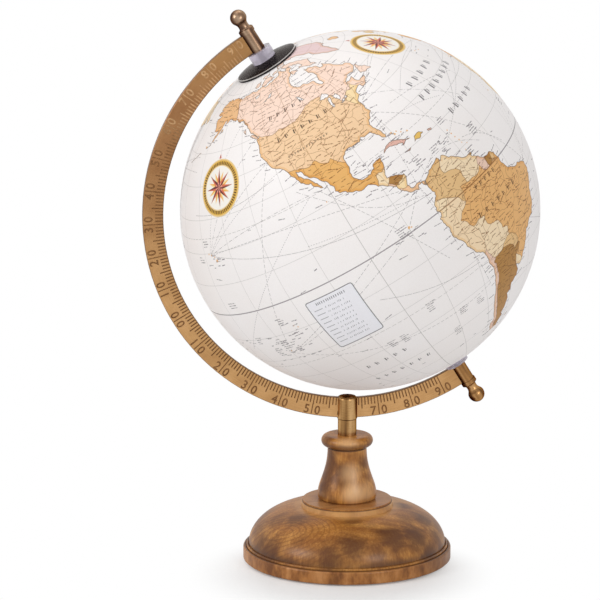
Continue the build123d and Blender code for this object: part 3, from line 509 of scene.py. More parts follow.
# Middles of the lands elsewhere: longitude, latitude, tint.
old_world_lands = {
    "eurasia": [
        (35, 39, "rust"), (45, 24, "straw"), (43.5, 33, "rose"), (54, 32.5, "olive"), (67, 48, "peach"),
        (61, 41, "cream"), (66, 34, "apricot"), (69, 29, "rust"), (79, 22, "amber"), (88, 33, "cream"),
        (110, 32, "apricot"), (85, 41, "apricot"), (104, 46.5, "olive"), (125, 45, "apricot"),
        (127.5, 37, "rose"), (96, 21, "rose"), (101.5, 15.5, "ivory"), (106, 16, "umber"), (102, 4, "coral"),
        (45, 57, "tan"), (75, 62, "tan"), (103, 63, "tan"), (135, 62, "tan"), (170, 66, "ivory"),
        (-4, 40, "amber"), (-8.5, 39.5, "rose"), (2.5, 47, "straw"), (10.5, 51, "rose"), (12.5, 43, "olive"),
        (19.5, 52, "apricot"), (8.5, 61, "cream"), (15.5, 62, "apricot"), (26, 63.5, "olive"),
        (31, 49, "rust"), (24, 45.5, "cream"), (22, 40, "coral"), (16.5, 47.3, "umber"), (25, 56.5, "ivory")],
    "africa": [
        (-6, 32, "rust"), (3, 28, "cream"), (17, 27, "apricot"), (29, 27, "straw"), (-10, 20, "ivory"),
        (-2, 17.5, "amber"), (9, 17.5, "rose"), (18.5, 15.5, "olive"), (30, 15.5, "peach"),
        (40, 8.5, "umber"), (46.5, 5, "cream"), (8, 9.5, "apricot"), (-4, 8, "coral"),
        (-11, 10.5, "straw"), (13, 5.5, "tan"), (20.5, 6.5, "ivory"), (23, -3, "amber"), (38, 0.5, "rose"),
        (35, -6.5, "olive"), (17.5, -12.5, "rust"), (27.5, -14, "cream"), (36.5, -16, "peach"),
        (17, -22, "straw"), (23.5, -22, "tan"), (29.5, -19.5, "coral"), (24, -30, "apricot")],
    "australia": [
        (122, -25.5, "apricot"), (133.5, -19.5, "cream"), (135, -29.5, "rose"), (144.5, -23, "straw"),
        (146, -33, "amber")]}

# The ground that those lands share out: the squeeze of its longitudes, and its box.
old_world_boxes = {
    "eurasia": (0.6, (-12, 0, 190, 80)), "africa": (0.95, (-20, -37, 53, 38.2)),
    "australia": (0.9, (112, -40, 155, -10))}

# Where the provinces of the Americas are scattered: the box, how many, and the squeeze of its longitudes.
province_boxes = [((-141, 14, -52, 70), 110, 0.7), ((-82, -56, -34, 13), 95, 0.95)]

# Tints of the lands and the sea, and inks of the print.
tints = {
    "sea": srgb(247, 243, 242), "ice": srgb(248, 220, 203), "rust": srgb(236, 190, 140),
    "apricot": srgb(242, 206, 165), "straw": srgb(246, 220, 172), "amber": srgb(233, 181, 110),
    "cream": srgb(246, 224, 188), "umber": srgb(177, 130, 68), "peach": srgb(244, 206, 170),
    "olive": srgb(229, 191, 137), "ivory": srgb(244, 222, 188), "rose": srgb(236, 204, 186),
    "wheat": srgb(244, 219, 183), "coral": srgb(228, 182, 168), "gold": srgb(232, 192, 104),
    "tan": srgb(231, 181, 119), "mauve": srgb(232, 206, 207), "snow": srgb(244, 238, 232)}

inks = {
    "coast": srgb(126, 106, 90), "graticule": srgb(203, 199, 197), "equator": srgb(152, 147, 149),
    "tropic": srgb(176, 172, 168), "route": srgb(168, 163, 163), "mark": srgb(140, 135, 138),
    "heading": srgb(116, 112, 116), "islet": tints["tan"], "gilt": srgb(226, 180, 78),
    "gilt_dark": srgb(84, 56, 22), "gilt_pale": srgb(232, 204, 148), "rose_ground": srgb(247, 243, 236),
    "ray_gold": srgb(238, 176, 84), "ray_red": srgb(214, 112, 84), "ray_dark": srgb(104, 44, 46),
    "ray_pale": srgb(247, 218, 158), "centre": srgb(238, 162, 144), "panel": srgb(240, 239, 244),
    "panel_edge": srgb(120, 120, 122), "panel_rule": srgb(140, 140, 144)}

# How much each ink darkens the tint of a land under it.
land_shades = {
    "shore": (0.96, 0.86, 0.72), "graticule": (0.74, 0.67, 0.6), "tropic": (0.66, 0.58, 0.5),
    "province": (0.5, 0.41, 0.34), "river": (0.46, 0.38, 0.33), "border": (0.36, 0.28, 0.23),
    "equator": (0.42, 0.32, 0.25), "mark": (0.4, 0.31, 0.25), "heading": (0.12, 0.1, 0.09)}

# Inks of the map and of the emblems, from the lowest to the topmost.
map_order = ["shore", "graticule", "tropic", "province", "river", "border", "route", "islet", "coast",
             "equator", "mark", "heading"]
emblem_order = ["panel_edge", "panel_rule", "gilt_dark", "ray_pale", "ray_gold", "ray_red", "centre",
                "ray_dark"]
land_inks = ("shore", "province", "river", "border")

# How far the map prints its lands from their true places: longitude, latitude, and the shift of both.
shifts = [
    (-124.5, 48.4, -1, 3.5), (-120.6, 34.6, -1, 6), (-116, 32, 2.5, 3), (-109.5, 23.1, 3.5, 3.5),
    (-105.6, 20.4, 2, 3), (-141, 60, -0.5, 2.8), (-141, 69.6, -4.5, 2.5), (-162, 58.7, -2.8, 1.3),
    (-165.3, 61.2, -0.5, 2.9), (-166.5, 68.3, -3.6, 0.5), (-156.6, 71.3, -4, 1.5), (-163, 54.8, 0.5, 1.2),
    (-151, 60, -1, 3.3), (172, 60.5, -10, 0),
    (-92, 46.8, 4.5, 5.5), (-87, 41.7, 3, 5.5), (-80.6, 25.2, 3, 3.5), (-75.5, 35.3, 1, 3),
    (-70, 41.7, -1.5, 3.5), (-89.4, 29.2, 3, 3), (-97.3, 27.5, 2.5, 3.5), (-96, 19, 1, 4),
    (-88, 21.5, 3, 3), (-79, 21, 2.5, 3.5), (-70, 18.5, 3, 4.5), (-71.8, 12.4, 3, 1), (-83.3, 15, 2, 0.5),
    (-80, 9, -0.5, 2), (-61, 10.5, 4, -3.5), (-35.4, -5.2, 1.5, -4), (-81.3, -4.5, 1.5, 2.5),
    (-77, -12, -1, 1), (-70.3, -18.5, -0.5, -3.5), (-71.6, -33, 2.5, 0), (-75.5, -46.7, 2.5, -6.5),
    (-65, 43.6, -1, 3), (-80, 51.4, 1.5, 6), (-94.3, 60, 1, 6), (-156, 20, -2.5, -1), (-149, -17, 0, 0),
    (188, 66.5, -15, -2)]


def smoothly(low, high, value):
    """Nought below low, one above high, and a smooth rise between."""
    t = min(max((value - low) / (high - low), 0), 1)
    return t * t * (3 - 2 * t)


def sides(corners):
    """The sides of a closed outline, each as its two ends."""
    return zip(corners, corners[1:] + corners[:1])


def partway(p, q, share):
    """The place at a share of the way from p to q."""
    return p[0] + (q[0] - p[0]) * share, p[1] + (q[1] - p[1]) * share


def narrowing(lat, least=0.05):
    """How long a degree of longitude is at a latitude, as a share of one at the equator."""
    return max(cos(radians(lat)), least)


def printed(point):
    """Where the map prints a longitude and latitude: the shifts of the landmarks, the nearest most."""
    lon, lat = point
    if lat <= -60:
        return lon, lat
    softness = 20
    total, east, up = 1 / (40 ** 2 + softness) ** 2, 0.0, 0.0
    for near_lon, near_lat, shift_lon, shift_lat in shifts:
        gap = ((lon - near_lon) * 0.8) ** 2 + (lat - near_lat) ** 2
        weight = 1 / (gap + softness) ** 2
        total += weight
        east += weight * shift_lon
        up += weight * shift_lat
    calm = (1 - smoothly(66, 84, lat)) * (1 - smoothly(50, 60, -lat)) / total
    margin = 0.3
    return min(max(lon + east * calm, west_edge + margin), east_edge - margin), lat + up * calm


def wandering(start, end, step, sway):
    """Points from start to end along a coast or border that strays from the straight line."""
    if start > end:
        return wandering(end, start, step, sway)[::-1]
    chance = random.Random("%.2f %.2f %.2f %.2f" % (start + end))
    line = [start, end]
    length = hypot((end[0] - start[0]) * cos(radians(start[1])), end[1] - start[1])
    while length > step:
        finer = []
        for p, q in zip(line, line[1:]):
            shift = chance.uniform(-sway, sway)
            middle = ((p[0] + q[0]) / 2 - (q[1] - p[1]) * shift, (p[1] + q[1]) / 2 + (q[0] - p[0]) * shift)
            finer += [p, middle]
        line = finer + [line[-1]]
        length /= 2
    return line


def shoreline(corners, step=1.0, sway=0.16, closed=True):
    """A rough coast through the corners, as it is printed."""
    line = []
    for start, end in sides(corners) if closed else zip(corners, corners[1:]):
        line += wandering(start, end, step, sway)[:-1]
    if not closed:
        line.append(corners[-1])
    return [printed(p) for p in line]


def turn(a, b, c):
    """More than nought where the way from a through b to c turns left."""
    return (b[0] - a[0]) * (c[1] - b[1]) - (b[1] - a[1]) * (c[0] - b[0])


class MapSheet:
    """The printed sheet in longitude and latitude: strokes of ink, and lines that it is only cut along."""

    def __init__(self):
        self.points = []
        self.strokes = []
        self.edges = []

    def point(self, lon, lat):
        self.points.append(Vector((lon, lat)))
        return len(self.points) - 1

    def line(self, corners):
        """A closed outline that the sheet is cut along without ink."""
        self.edges += sides([self.point(*p) for p in corners])

    def patch(self, corners, ink):
        """A small area of ink with corners going anticlockwise."""
        if all(west_edge <= p[0] <= east_edge and abs(p[1]) < pole_edge - 1 for p in corners):
            self.strokes.append(([self.point(*p) for p in corners], ink))

    def ribbon(self, line, ink, closed=False, width=None):
        """A line of ink along the points, with mitred joints and its ink's own width if none is given."""
        width = width or line_widths[ink]
        count = len(line)
        least = 0.6
        rails = []
        for i, (lon, lat) in enumerate(line):
            squeeze = narrowing(lat)
            before = line[i - 1] if i or closed else None
            after = line[(i + 1) % count] if i + 1 < count or closed else None
            normal = Vector((0, 0))
            for p, q in ((before, line[i]), (line[i], after)):
                if p and q:
                    along = Vector(((q[0] - p[0]) * squeeze, q[1] - p[1]))
                    if along.length > 1e-6:
                        normal += Vector((-along.y, along.x)).normalized()
            if normal.length < least:
                normal = normal.normalized() * least if normal.length > 1e-6 else Vector((0, least))
            normal *= width / normal.length ** 2 if before and after else width / 2 / normal.length
            rails.append(((lon + normal.x / squeeze, lat + normal.y),
                          (lon - normal.x / squeeze, lat - normal.y)))
        for i in range(count if closed else count - 1):
            left, right = rails[i]
            left_on, right_on = rails[(i + 1) % count]
            corners = [right, right_on, left_on, left]
            if all(turn(corners[k - 1], corners[k], corners[(k + 1) % 4]) > 1e-9 for k in range(4)):
                self.patch(corners, ink)
            else:
                self.stroke(line[i], line[(i + 1) % count], width, ink)

    def stroke(self, start, end, width, ink):
        """One straight stroke with square ends."""
        squeeze = narrowing((start[1] + end[1]) / 2)
        along = Vector(((end[0] - start[0]) * squeeze, end[1] - start[1]))
        if along.length < 1e-4:
            return
        side = Vector((-along.y, along.x)).normalized() * width / 2
        side.x /= squeeze
        corners = [(start[0] - side.x, start[1] - side.y), (end[0] - side.x, end[1] - side.y),
                   (end[0] + side.x, end[1] + side.y), (start[0] + side.x, start[1] + side.y)]
        self.patch(corners, ink)

    def dashes(self, line, ink, pattern, width=None):
        """A broken line: the pattern is dash, gap, dash, gap ... in degrees."""
        width = width or line_widths[ink]
        reach, drawing, left = 0, True, pattern[0]
        for p, q in zip(line, line[1:]):
            length = hypot((q[0] - p[0]) * narrowing((p[1] + q[1]) / 2), q[1] - p[1])
            done = 0.0
            while length - done > 1e-6:
                go = min(left, length - done)
                if drawing:
                    self.stroke(partway(p, q, done / length), partway(p, q, (done + go) / length), width, ink)
                done += go
                left -= go
                if left < 1e-6:
                    reach += 1
                    drawing = reach % 2 == 0
                    left = pattern[reach % len(pattern)]


def inside(corners, lon, lat):
    """Which of the points lie inside the outline."""
    x, y = np.array([p[0] for p in corners]), np.array([p[1] for p in corners])
    hit = np.zeros(len(lon), bool)
    near = np.flatnonzero((lon >= x.min()) & (lon <= x.max()) & (lat >= y.min()) & (lat <= y.max()))
    if not len(near):
        return hit
    px, py = lon[near], lat[near]
    odd = np.zeros(len(near), bool)
    for x0, y0, x1, y1 in zip(x, y, np.roll(x, -1), np.roll(y, -1)):
        if y0 != y1:
            crosses = (y0 > py) != (y1 > py)
            odd ^= crosses & (px < (x1 - x0) * (py - y0) / (y1 - y0) + x0)
    hit[near] = odd
    return hit


def shares(seeds, squeeze, box):
    """The ground nearest to each seed, cut out of the box."""
    cells = []
    for i, (lon, lat, tint) in enumerate(seeds):
        cell = [(box[0], box[1]), (box[2], box[1]), (box[2], box[3]), (box[0], box[3])]
        for k, other in enumerate(seeds):
            if k != i:
                nx, ny = (other[0] - lon) * squeeze ** 2, other[1] - lat
                limit = nx * (lon + other[0]) / 2 + ny * (lat + other[1]) / 2
                kept = []
                for p, q in sides(cell):
                    a, b = nx * p[0] + ny * p[1] - limit, nx * q[0] + ny * q[1] - limit
                    if a <= 0:
                        kept.append(p)
                    if a * b < 0:
                        kept.append((p[0] + (q[0] - p[0]) * a / (a - b), p[1] + (q[1] - p[1]) * a / (a - b)))
                cell = kept
        cells.append((tint, [(round(p[0], 2), round(p[1], 2)) for p in cell]))
    return cells


def note_sides(outline, found):
    """Adds the sides of an outline to those found so far. One that two outlines share is there once."""
    for side in sides(outline):
        found.setdefault(tuple(sorted(side)))


def great_circle(start, end):
    """Points along the shortest way between two printed places."""
    def direction(p):
        lon, lat = radians(p[0]), radians(p[1])
        return Vector((cos(lat) * cos(lon), cos(lat) * sin(lon), sin(lat)))
    a, b = direction(start), direction(end)
    count = max(2, int(degrees(a.angle(b)) / grid_step) + 1)
    line = []
    last = start[0]
    for i in range(count + 1):
        v = a.slerp(b, i / count)
        lon = degrees(atan2(v.y, v.x))
        lon += 360 * round((last - lon) / 360)
        last = lon
        line.append((lon, degrees(np.arcsin(v.z))))
    return line


def bowed(start, end, sag):
    """A way between two printed places that hangs below the shortest one by some degrees at its middle."""
    line = great_circle(start, end)
    return [(lon, lat - sag * sin(pi * i / (len(line) - 1))) for i, (lon, lat) in enumerate(line)]


def on_sphere(lon, lat, radius):
    """The places on the ball of printed longitudes and latitudes."""
    turned = np.radians(np.asarray(lon) - front_longitude)
    risen = np.radians(np.asarray(lat))
    flat = np.cos(risen)[:, None] * (np.cos(turned)[:, None] * np.array(ball_front)
                                     + np.sin(turned)[:, None] * np.array(ball_east))
    return np.array(ball_centre) + radius * (flat + np.sin(risen)[:, None] * np.array(north))


def around(middle, bearing, reach):
    """The printed place at a bearing from north and a reach in degrees from a middle."""
    lat, turned, far = radians(middle[1]), radians(bearing), radians(reach)
    out_lat = np.arcsin(sin(lat) * cos(far) + cos(lat) * sin(far) * cos(turned))
    out_lon = atan2(sin(turned) * sin(far) * cos(lat), cos(far) - sin(lat) * sin(out_lat))
    return middle[0] + degrees(out_lon), degrees(out_lat)


def compass_rose(sheet, middle, reach):
    """A gilt ring with ticks round a star of sixteen rays, and a small hand above it."""
    def at(bearing, share):
        return around(middle, bearing, reach * share)

    for share, ink in rose_rings:
        sheet.line([at(-b, share) for b in range(0, 360, 5)])
    for b in range(3, 360, 6):
        sheet.stroke(at(b, 0.79), at(b, 0.91), reach * 0.05, "gilt_dark")
    star = [(22.5, 0.58, 0.24, "ray_pale", "ray_gold"), (0, 0.68, 0.2, "ray_red", "ray_dark")]
    for first, length, waist, light, dark in star:
        for b in range(8):
            bearing = first + b * 45
            tip = at(bearing, length)
            sheet.patch([middle, tip, at(bearing - 22.5, waist)], light)
            sheet.patch([middle, at(bearing + 22.5, waist), tip], dark)
    sheet.patch([at(-b, 0.18) for b in range(0, 360, 30)], "centre")
    for b in range(0, 360, 60):
        sheet.stroke(at(b, 0.08), at(b, 0.12), reach * 0.04, "ray_dark")
    sheet.patch([at(4, 1.03), at(0, 1.2), at(-4, 1.03)], "centre")
    sheet.stroke(at(0, 1.03), at(0, 1.14), reach * 0.035, "ray_dark")


def legend_panel(sheet):
    """A plain panel with rounded corners, ruled in rows of short strokes. Gives its outline."""
    west, east, south, top, rounding = -131.5, -114.2, -23.0, -3.4, 0.7
    middles = [(east - rounding, top - rounding), (west + rounding, top - rounding),
               (west + rounding, south + rounding), (east - rounding, south + rounding)]
    corners = []
    for number, (x, y) in enumerate(middles):
        for b in (0, 45, 90):
            way = radians(number * 90 + b)
            corners.append((x + rounding * cos(way), y + rounding * sin(way)))
    outline = []
    for p, q in sides(corners):
        count = max(1, round(hypot(q[0] - p[0], q[1] - p[1]) / 2))
        outline += [partway(p, q, i / count) for i in range(count)]
    sheet.ribbon(outline, "panel_edge", closed=True)
    chance = random.Random(5)
    for row in range(9):
        y = top - 3.6 - row * 1.72
        sheet.stroke((west + 1.3, y), (west + 4.4, y), 0.2, "panel_rule")
        x = west + 5.6
        while x < east - 2.5 - chance.random() * 3:
            wide = chance.uniform(0.25, 0.45)
            sheet.stroke((x, y - 0.3), (x + 0.08, y + chance.uniform(0.1, 0.4)), wide * 0.5, "panel_rule")
            x += wide + chance.choice((0.2, 0.25, 0.7))
    x = west + 3.4
    while x < east - 3.4:
        sheet.stroke((x, top - 2), (x + 0.1, top - 1.1), 0.3, "panel_rule")
        x += chance.uniform(0.6, 0.9)
    return outline


def word(sheet, chance, start, end, lat, slope=0.0, broken=True):
    """A word of small print as it looks from afar: a stroke, broken or whole."""
    squeeze = narrowing(lat, 0.2)
    at = start
    while at < end:
        piece = min(chance.uniform(0.5, 1.6) / squeeze, end - at) if broken else end - at
        low, high = lat + (at - start) * squeeze * slope, lat + (at + piece - start) * squeeze * slope
        sheet.stroke((at, low), (at + piece, high), chance.uniform(0.16, 0.34), "mark")
        at += piece + 0.16 / squeeze


def heading(sheet, chance, start, end, lat, count, height):
    """A row of wide spaced signs, each a thick and a thin stroke, where the map has a heading."""
    half = height * 0.2 / narrowing(lat, 0.2)
    for i in range(count):
        x = start + (end - start) * i / (count - 1)
        lean = chance.choice((-0.6, 0.3, 0.6)) * half
        top = lat + height * chance.uniform(0.2, 0.5)
        foot = lat - height * chance.uniform(0.2, 0.5)
        thick_foot, thick_top = (x - half, lat - height / 2), (x - half + lean, lat + height / 2)
        sheet.stroke(thick_foot, thick_top, height * 0.26, "heading")
        sheet.stroke((x + half, foot), (x + half + lean, top), height * 0.14, "heading")


def draw_coasts(sheet):
    """All coasts. Gives the outlines and tints of the lands, the six largest first, and of the waters."""
    mainlands = [(shoreline(north_america), "ice"), (shoreline(south_america), "tan"),
                 (shoreline(eurasia, step=1.8), "tan"), (shoreline(africa, step=1.8), "cream"),
                 (shoreline(australia, step=1.8), "apricot"), (shoreline(greenland, step=1.2), "mauve")]
    for tint, group in islands.items():
        mainlands += [(shoreline(outline, step=0.9), tint) for outline in group]
    south_coast = shoreline(antarctic_coast, step=2.0, closed=False)
    waters = [shoreline(outline, step=0.9) for outline in lakes]
    for outline in [land[0] for land in mainlands] + waters:
        sheet.ribbon(outline, "coast", closed=True)
    sheet.ribbon(south_coast, "coast")
    for outline, tint in mainlands[:6]:
        sheet.ribbon(outline, "shore", closed=True)
    mainlands.append((south_coast + [(east_edge, -90), (west_edge, -90)], "snow"))
    for lon, lat, half in islets:
        middle = printed((lon, lat))
        chance = random.Random(str((lon, lat)))
        ring = [around(middle, -b, half * chance.uniform(0.8, 1.3)) for b in range(0, 360, 60)]
        sheet.patch(ring, "islet")
    return mainlands, waters


def draw_borders(sheet, mainlands):
    """Provinces, rivers and borders. Gives each land's outline, tint and region."""
    american_bends, old_world_bends = (1.2, 0.13), (2.0, 0.1)
    borders, provinces = {}, {}
    lands = []
    for tint, outline in american_lands:
        lands.append((shoreline(outline, *american_bends), tint, "americas"))
        note_sides(outline, borders)
    for region, seeds in old_world_lands.items():
        for tint, outline in shares(seeds, *old_world_boxes[region]):
            lands.append((shoreline(outline, *old_world_bends), tint, region))
            note_sides(outline, borders)
    chance = random.Random(3)
    for box, count, squeeze in province_boxes:
        seeds = [(chance.uniform(box[0], box[2]), chance.uniform(box[1], box[3]), "") for i in range(count)]
        for tint, outline in shares(seeds, squeeze, box):
            note_sides(outline, provinces)
    for side in provinces:
        line = shoreline(list(side), step=1.6, sway=0.2, closed=False)
        lons, lats = np.array(line).T
        if any(inside(land[0], lons, lats).any() for land in mainlands[:2]):
            sheet.ribbon(line, "province")
    for course in rivers:
        sheet.ribbon(shoreline(course, step=1.2, sway=0.25, closed=False), "river")
    for p, q in borders:
        if p != q:
            bends = american_bends if p[0] < -30 else old_world_bends
            sheet.ribbon(shoreline([p, q], *bends, closed=False), "border")
    return lands


def draw_graticule(sheet):
    """Meridians, parallels, the equator, a chain of islets, and the tropics and polar circles."""
    up = range(-last_row, last_row + 1, grid_step)
    across = [west_edge + grid_step * i for i in range(grid_columns + 1)]
    for lon in range(-165, 190, meridian_step):
        width = bold_width if lon == bold_meridian else None
        sheet.ribbon([(lon, lat) for lat in up], "graticule", width=width)
    for ring in range(-7, 8):
        if ring:
            sheet.ribbon([(lon, ring * parallel_step) for lon in across], "graticule")
    sheet.ribbon([(lon, 0) for lon in across], "equator")
    for chain in ([(-162.5, 56), (-169.4, 54.2)], [(190.4, 54.2), (184, 52), (177, 49.6)]):
        sheet.dashes(chain, "coast", chain_dashes, width=0.3)
    for lat in circles:
        sheet.dashes([(lon, lat) for lon in across], "tropic", circle_dashes)


def draw_routes(sheet):
    """Ship routes: most follow the shortest way, and some leave it and are thinner."""
    for i, (start, end) in enumerate(routes):
        sheet.dashes(great_circle(start, end), "route", route_patterns[i % 3])
    for i, (start, end, sag) in enumerate(bowed_routes):
        pattern = route_patterns[i % 3] if i % 4 else long_dashes
        sheet.dashes(bowed(start, end, sag), "route", pattern, width=0.14)


def small_print(sheet, mainlands):
    """Rows of tiny words over the lands, along their coasts, round the island groups and at sea."""
    chance = random.Random(11)
    for number, (outline, tint) in enumerate(mainlands[:5]):
        crowded = number < 2
        sparse = 1.0 if crowded else 2.2
        lons, lats = [p[0] for p in outline], [p[1] for p in outline]
        spots = []
        lat = min(lats) + 0.7
        while lat < min(max(lats), 76):
            squeeze = cos(radians(lat))
            lon = min(lons) + chance.uniform(0, 3)
            while lon < max(lons):
                length = chance.uniform(0.7, 3.6) / squeeze
                spots.append((lon, lon + length, lat + chance.uniform(-0.5, 0.5)))
                lon += length + sparse * chance.choice((0.5, 0.9, 1.8, 4.0)) / squeeze
            lat += chance.uniform(1.1, 1.7) * sparse
        west, east, row = np.array(spots).T
        fits = inside(outline, west, row) & inside(outline, east, row)
        for spot, fit in zip(spots, fits):
            if fit:
                slope = chance.choice((-0.5, -0.15, -0.05, 0, 0.05, 0.15, 0.5))
                word(sheet, chance, *spot, slope, crowded)
        coast = np.array(outline[::4 if crowded else 9])
        squeeze = np.cos(np.radians(coast[:, 1]))
        for side in (-1, 1):
            length = np.array([chance.uniform(1.0, 3.0) for p in coast]) / squeeze
            near = coast[:, 0] + side * 0.6 / squeeze
            far = near + side * length
            dry = np.zeros(len(coast), bool)
            for other, other_tint in mainlands[:6]:
                for lon in (near, (near + far) / 2, far):
                    dry |= inside(other, lon, coast[:, 1])
            for a, b, lat, land in zip(near, far, coast[:, 1], dry):
                if not land and lat < 78:
                    word(sheet, chance, min(a, b), max(a, b), lat, chance.uniform(-0.3, 0.3), crowded)
    for lon, lat, spread, words in island_groups:
        for i in range(words):
            start = lon + chance.uniform(-spread, spread)
            end = start + chance.uniform(0.7, 2.4)
            row = lat + chance.uniform(-spread, spread) * 0.7
            word(sheet, chance, start, end, row, chance.uniform(-0.1, 0.1))
    for i in range(110):
        start, lat = chance.uniform(-165, 180), chance.uniform(-58, 60)
        ends = np.array([start, start + 3]), np.array([lat, lat])
        if not any(inside(other, *ends).any() for other, tint in mainlands[:6]):
            word(sheet, chance, start, start + chance.uniform(1.0, 3.0), lat, chance.uniform(-0.3, 0.3))
    for lon, lat in blocks:
        for row in range(chance.randint(3, 5)):
            start = lon + chance.uniform(-0.5, 0.3)
            word(sheet, chance, start, start + chance.uniform(1.8, 4.0), lat - row * 0.8)
    for start, end, lat, count, height in headings:
        heading(sheet, chance, start, end, lat, count, height)


def print_colours(lon, lat, strokes, mainlands, waters, lands, legend):
    """The colour of each triangle, by its middle and by the inks of the strokes that lie over it."""
    on_land = np.zeros(len(lon), bool)
    colour = np.tile(np.array(tints["sea"]), (len(lon), 1))
    areas = []
    for outline, tint in mainlands:
        hit = inside(outline, lon, lat)
        on_land |= hit
        colour[hit] = tints[tint]
        areas.append(hit)
    regions = {"americas": areas[0] | areas[1], "eurasia": areas[2], "africa": areas[3],
               "australia": areas[4]}
    for outline, tint, region in lands:
        colour[inside(outline, lon, lat) & regions[region]] = tints[tint]
    for outline in waters:
        hit = inside(outline, lon, lat)
        on_land &= ~hit
        colour[hit] = tints["sea"]

    rank = np.full(len(lon), -1)
    emblem_inks = {}
    for i, over in enumerate(strokes):
        for ink in over:
            out_of_place = on_land[i] if ink == "route" else ink in land_inks and not on_land[i]
            if ink in emblem_order:
                emblem_inks.setdefault(i, []).append(ink)
            elif not out_of_place:
                rank[i] = max(rank[i], map_order.index(ink))
    for place, ink in enumerate(map_order):
        hit = rank == place
        if ink in land_shades:
            colour[hit & on_land, :3] *= np.array(land_shades[ink])
            hit &= ~on_land
        if hit.any():
            colour[hit] = inks[ink]

    colour[inside(legend, lon, lat)] = inks["panel"]
    spots = on_sphere(lon, lat, 1.0) - np.array(ball_centre)
    for middle, reach in roses:
        heart = on_sphere([middle[0]], [middle[1]], 1.0)[0] - np.array(ball_centre)
        away = np.degrees(np.arccos(np.clip(spots @ heart, -1, 1))) / reach
        for share, ink in rose_rings:
            colour[away < share] = inks[ink]
    for i, found in emblem_inks.items():
        colour[i] = inks[max(found, key=emblem_order.index)]
    return colour


def paper_shell(lon, lat, triangles, colour):
    """A closed thin shell: the printed triangles outside, bare paper inside and at the two pole holes."""
    shell = bmesh.new()
    colour_layer = shell.loops.layers.float_color.new("print")
    verts = [shell.verts.new(p) for p in on_sphere(lon, lat, print_radius)]
    inner_rows = [-pole_edge] + list(range(-last_row, last_row + 1, 2 * grid_step)) + [pole_edge]
    inner_lons = west_edge + grid_step * np.arange(grid_columns)
    under = []
    for row in inner_rows:
        ring = on_sphere(inner_lons, np.full(grid_columns, row), print_radius - paper_thickness)
        under.append([shell.verts.new(p) for p in ring])
    faces = [([verts[k] for k in triangle], tint) for triangle, tint in zip(triangles, colour)]
    bare = tints["snow"]
    for below, above in zip(under, under[1:]):
        for c in range(grid_columns):
            d = (c + 1) % grid_columns
            faces.append(([below[c], above[c], above[d], below[d]], bare))
    for lat_edge, ring in ((-pole_edge, under[0]), (pole_edge, under[-1])):
        edge = sorted((x, k) for k, (x, y) in enumerate(zip(lon, lat)) if abs(y - lat_edge) < 1e-4)
        for c in range(grid_columns):
            a, b = verts[edge[c][1]], verts[edge[c + 1][1]]
            low, high = ring[c], ring[(c + 1) % grid_columns]
            faces.append(([a, low, high, b] if lat_edge < 0 else [a, b, high, low], bare))
    for corners, tint in faces:
        for loop in shell.faces.new(corners).loops:
            loop[colour_layer] = tint
    bmesh.ops.remove_doubles(shell, verts=shell.verts, dist=1e-7)
    mesh = bpy.data.meshes.new("printed_paper")
    shell.to_mesh(mesh)
    shell.free()
    return mesh


def printed_ball():
    """The paper skin with its print: the sheet is cut into triangles along all that is drawn on it."""
    sheet = MapSheet()
    mainlands, waters = draw_coasts(sheet)
    lands = draw_borders(sheet, mainlands)
    draw_graticule(sheet)
    legend = legend_panel(sheet)
    for middle, reach in roses:
        compass_rose(sheet, middle, reach)
    draw_routes(sheet)
    small_print(sheet, mainlands)
    for row in [-pole_edge] + list(range(-last_row, last_row + 1, grid_step)) + [pole_edge]:
        for i in range(grid_columns + 1):
            sheet.point(west_edge + grid_step * i, row)
    faces = [corners for corners, ink in sheet.strokes]
    cut = delaunay_2d_cdt(sheet.points, sheet.edges, faces, 0, 1e-5, True)
    lon, lat = np.array([v.x for v in cut[0]]), np.array([v.y for v in cut[0]])
    triangles = np.array(cut[2])
    strokes = [[sheet.strokes[owner][1] for owner in owners] for owners in cut[5]]
    colour = print_colours(lon[triangles].mean(1), lat[triangles].mean(1), strokes, mainlands, waters, lands,
                           legend)
    mesh = paper_shell(lon, lat, triangles, colour)
    paper = bpy.data.objects.new("printed_paper", mesh)
    bpy.context.scene.collection.objects.link(paper)
    mesh.polygons.foreach_set("use_smooth", np.ones(len(mesh.polygons), bool))
    place = np.zeros(len(mesh.vertices) * 3)
    mesh.vertices.foreach_get("co", place)
    away = place.reshape(-1, 3) - np.array(ball_centre)
    far = np.linalg.norm(away, axis=1)
    away = away / far[:, None] * np.where(far > print_radius - paper_thickness / 2, 1, -1)[:, None]
    mesh.normals_split_custom_set_from_vertices(away)
    return paper


def arc_way(turned):
    """The direction from the arc's centre, by the angle from its belly towards north."""
    return arc_belly * cos(turned) + north * sin(turned)


def arc_along(turned):
    """The direction along the arc towards north, at the same angle."""
    return north * cos(turned) - arc_belly * sin(turned)


def scale_angle(unit):
    """The angle of a mark of the scale: north is above nought, south is below."""
    return radians(1.0 + 0.95 * unit)


def edge_loops(faces):
    """The closed outlines of a group of faces, each a list of vertices in the order of its faces."""
    group = set(faces)
    following = {}
    for face in faces:
        for loop in face.loops:
            if sum(other in group for other in loop.edge.link_faces) == 1:
                following[loop.vert] = loop.link_loop_next.vert
    loops = []
    while following:
        vert, after = following.popitem()
        loop = [vert]
        while after in following:
            loop.append(after)
            after = following.pop(after)
        loops.append(loop)
    return loops


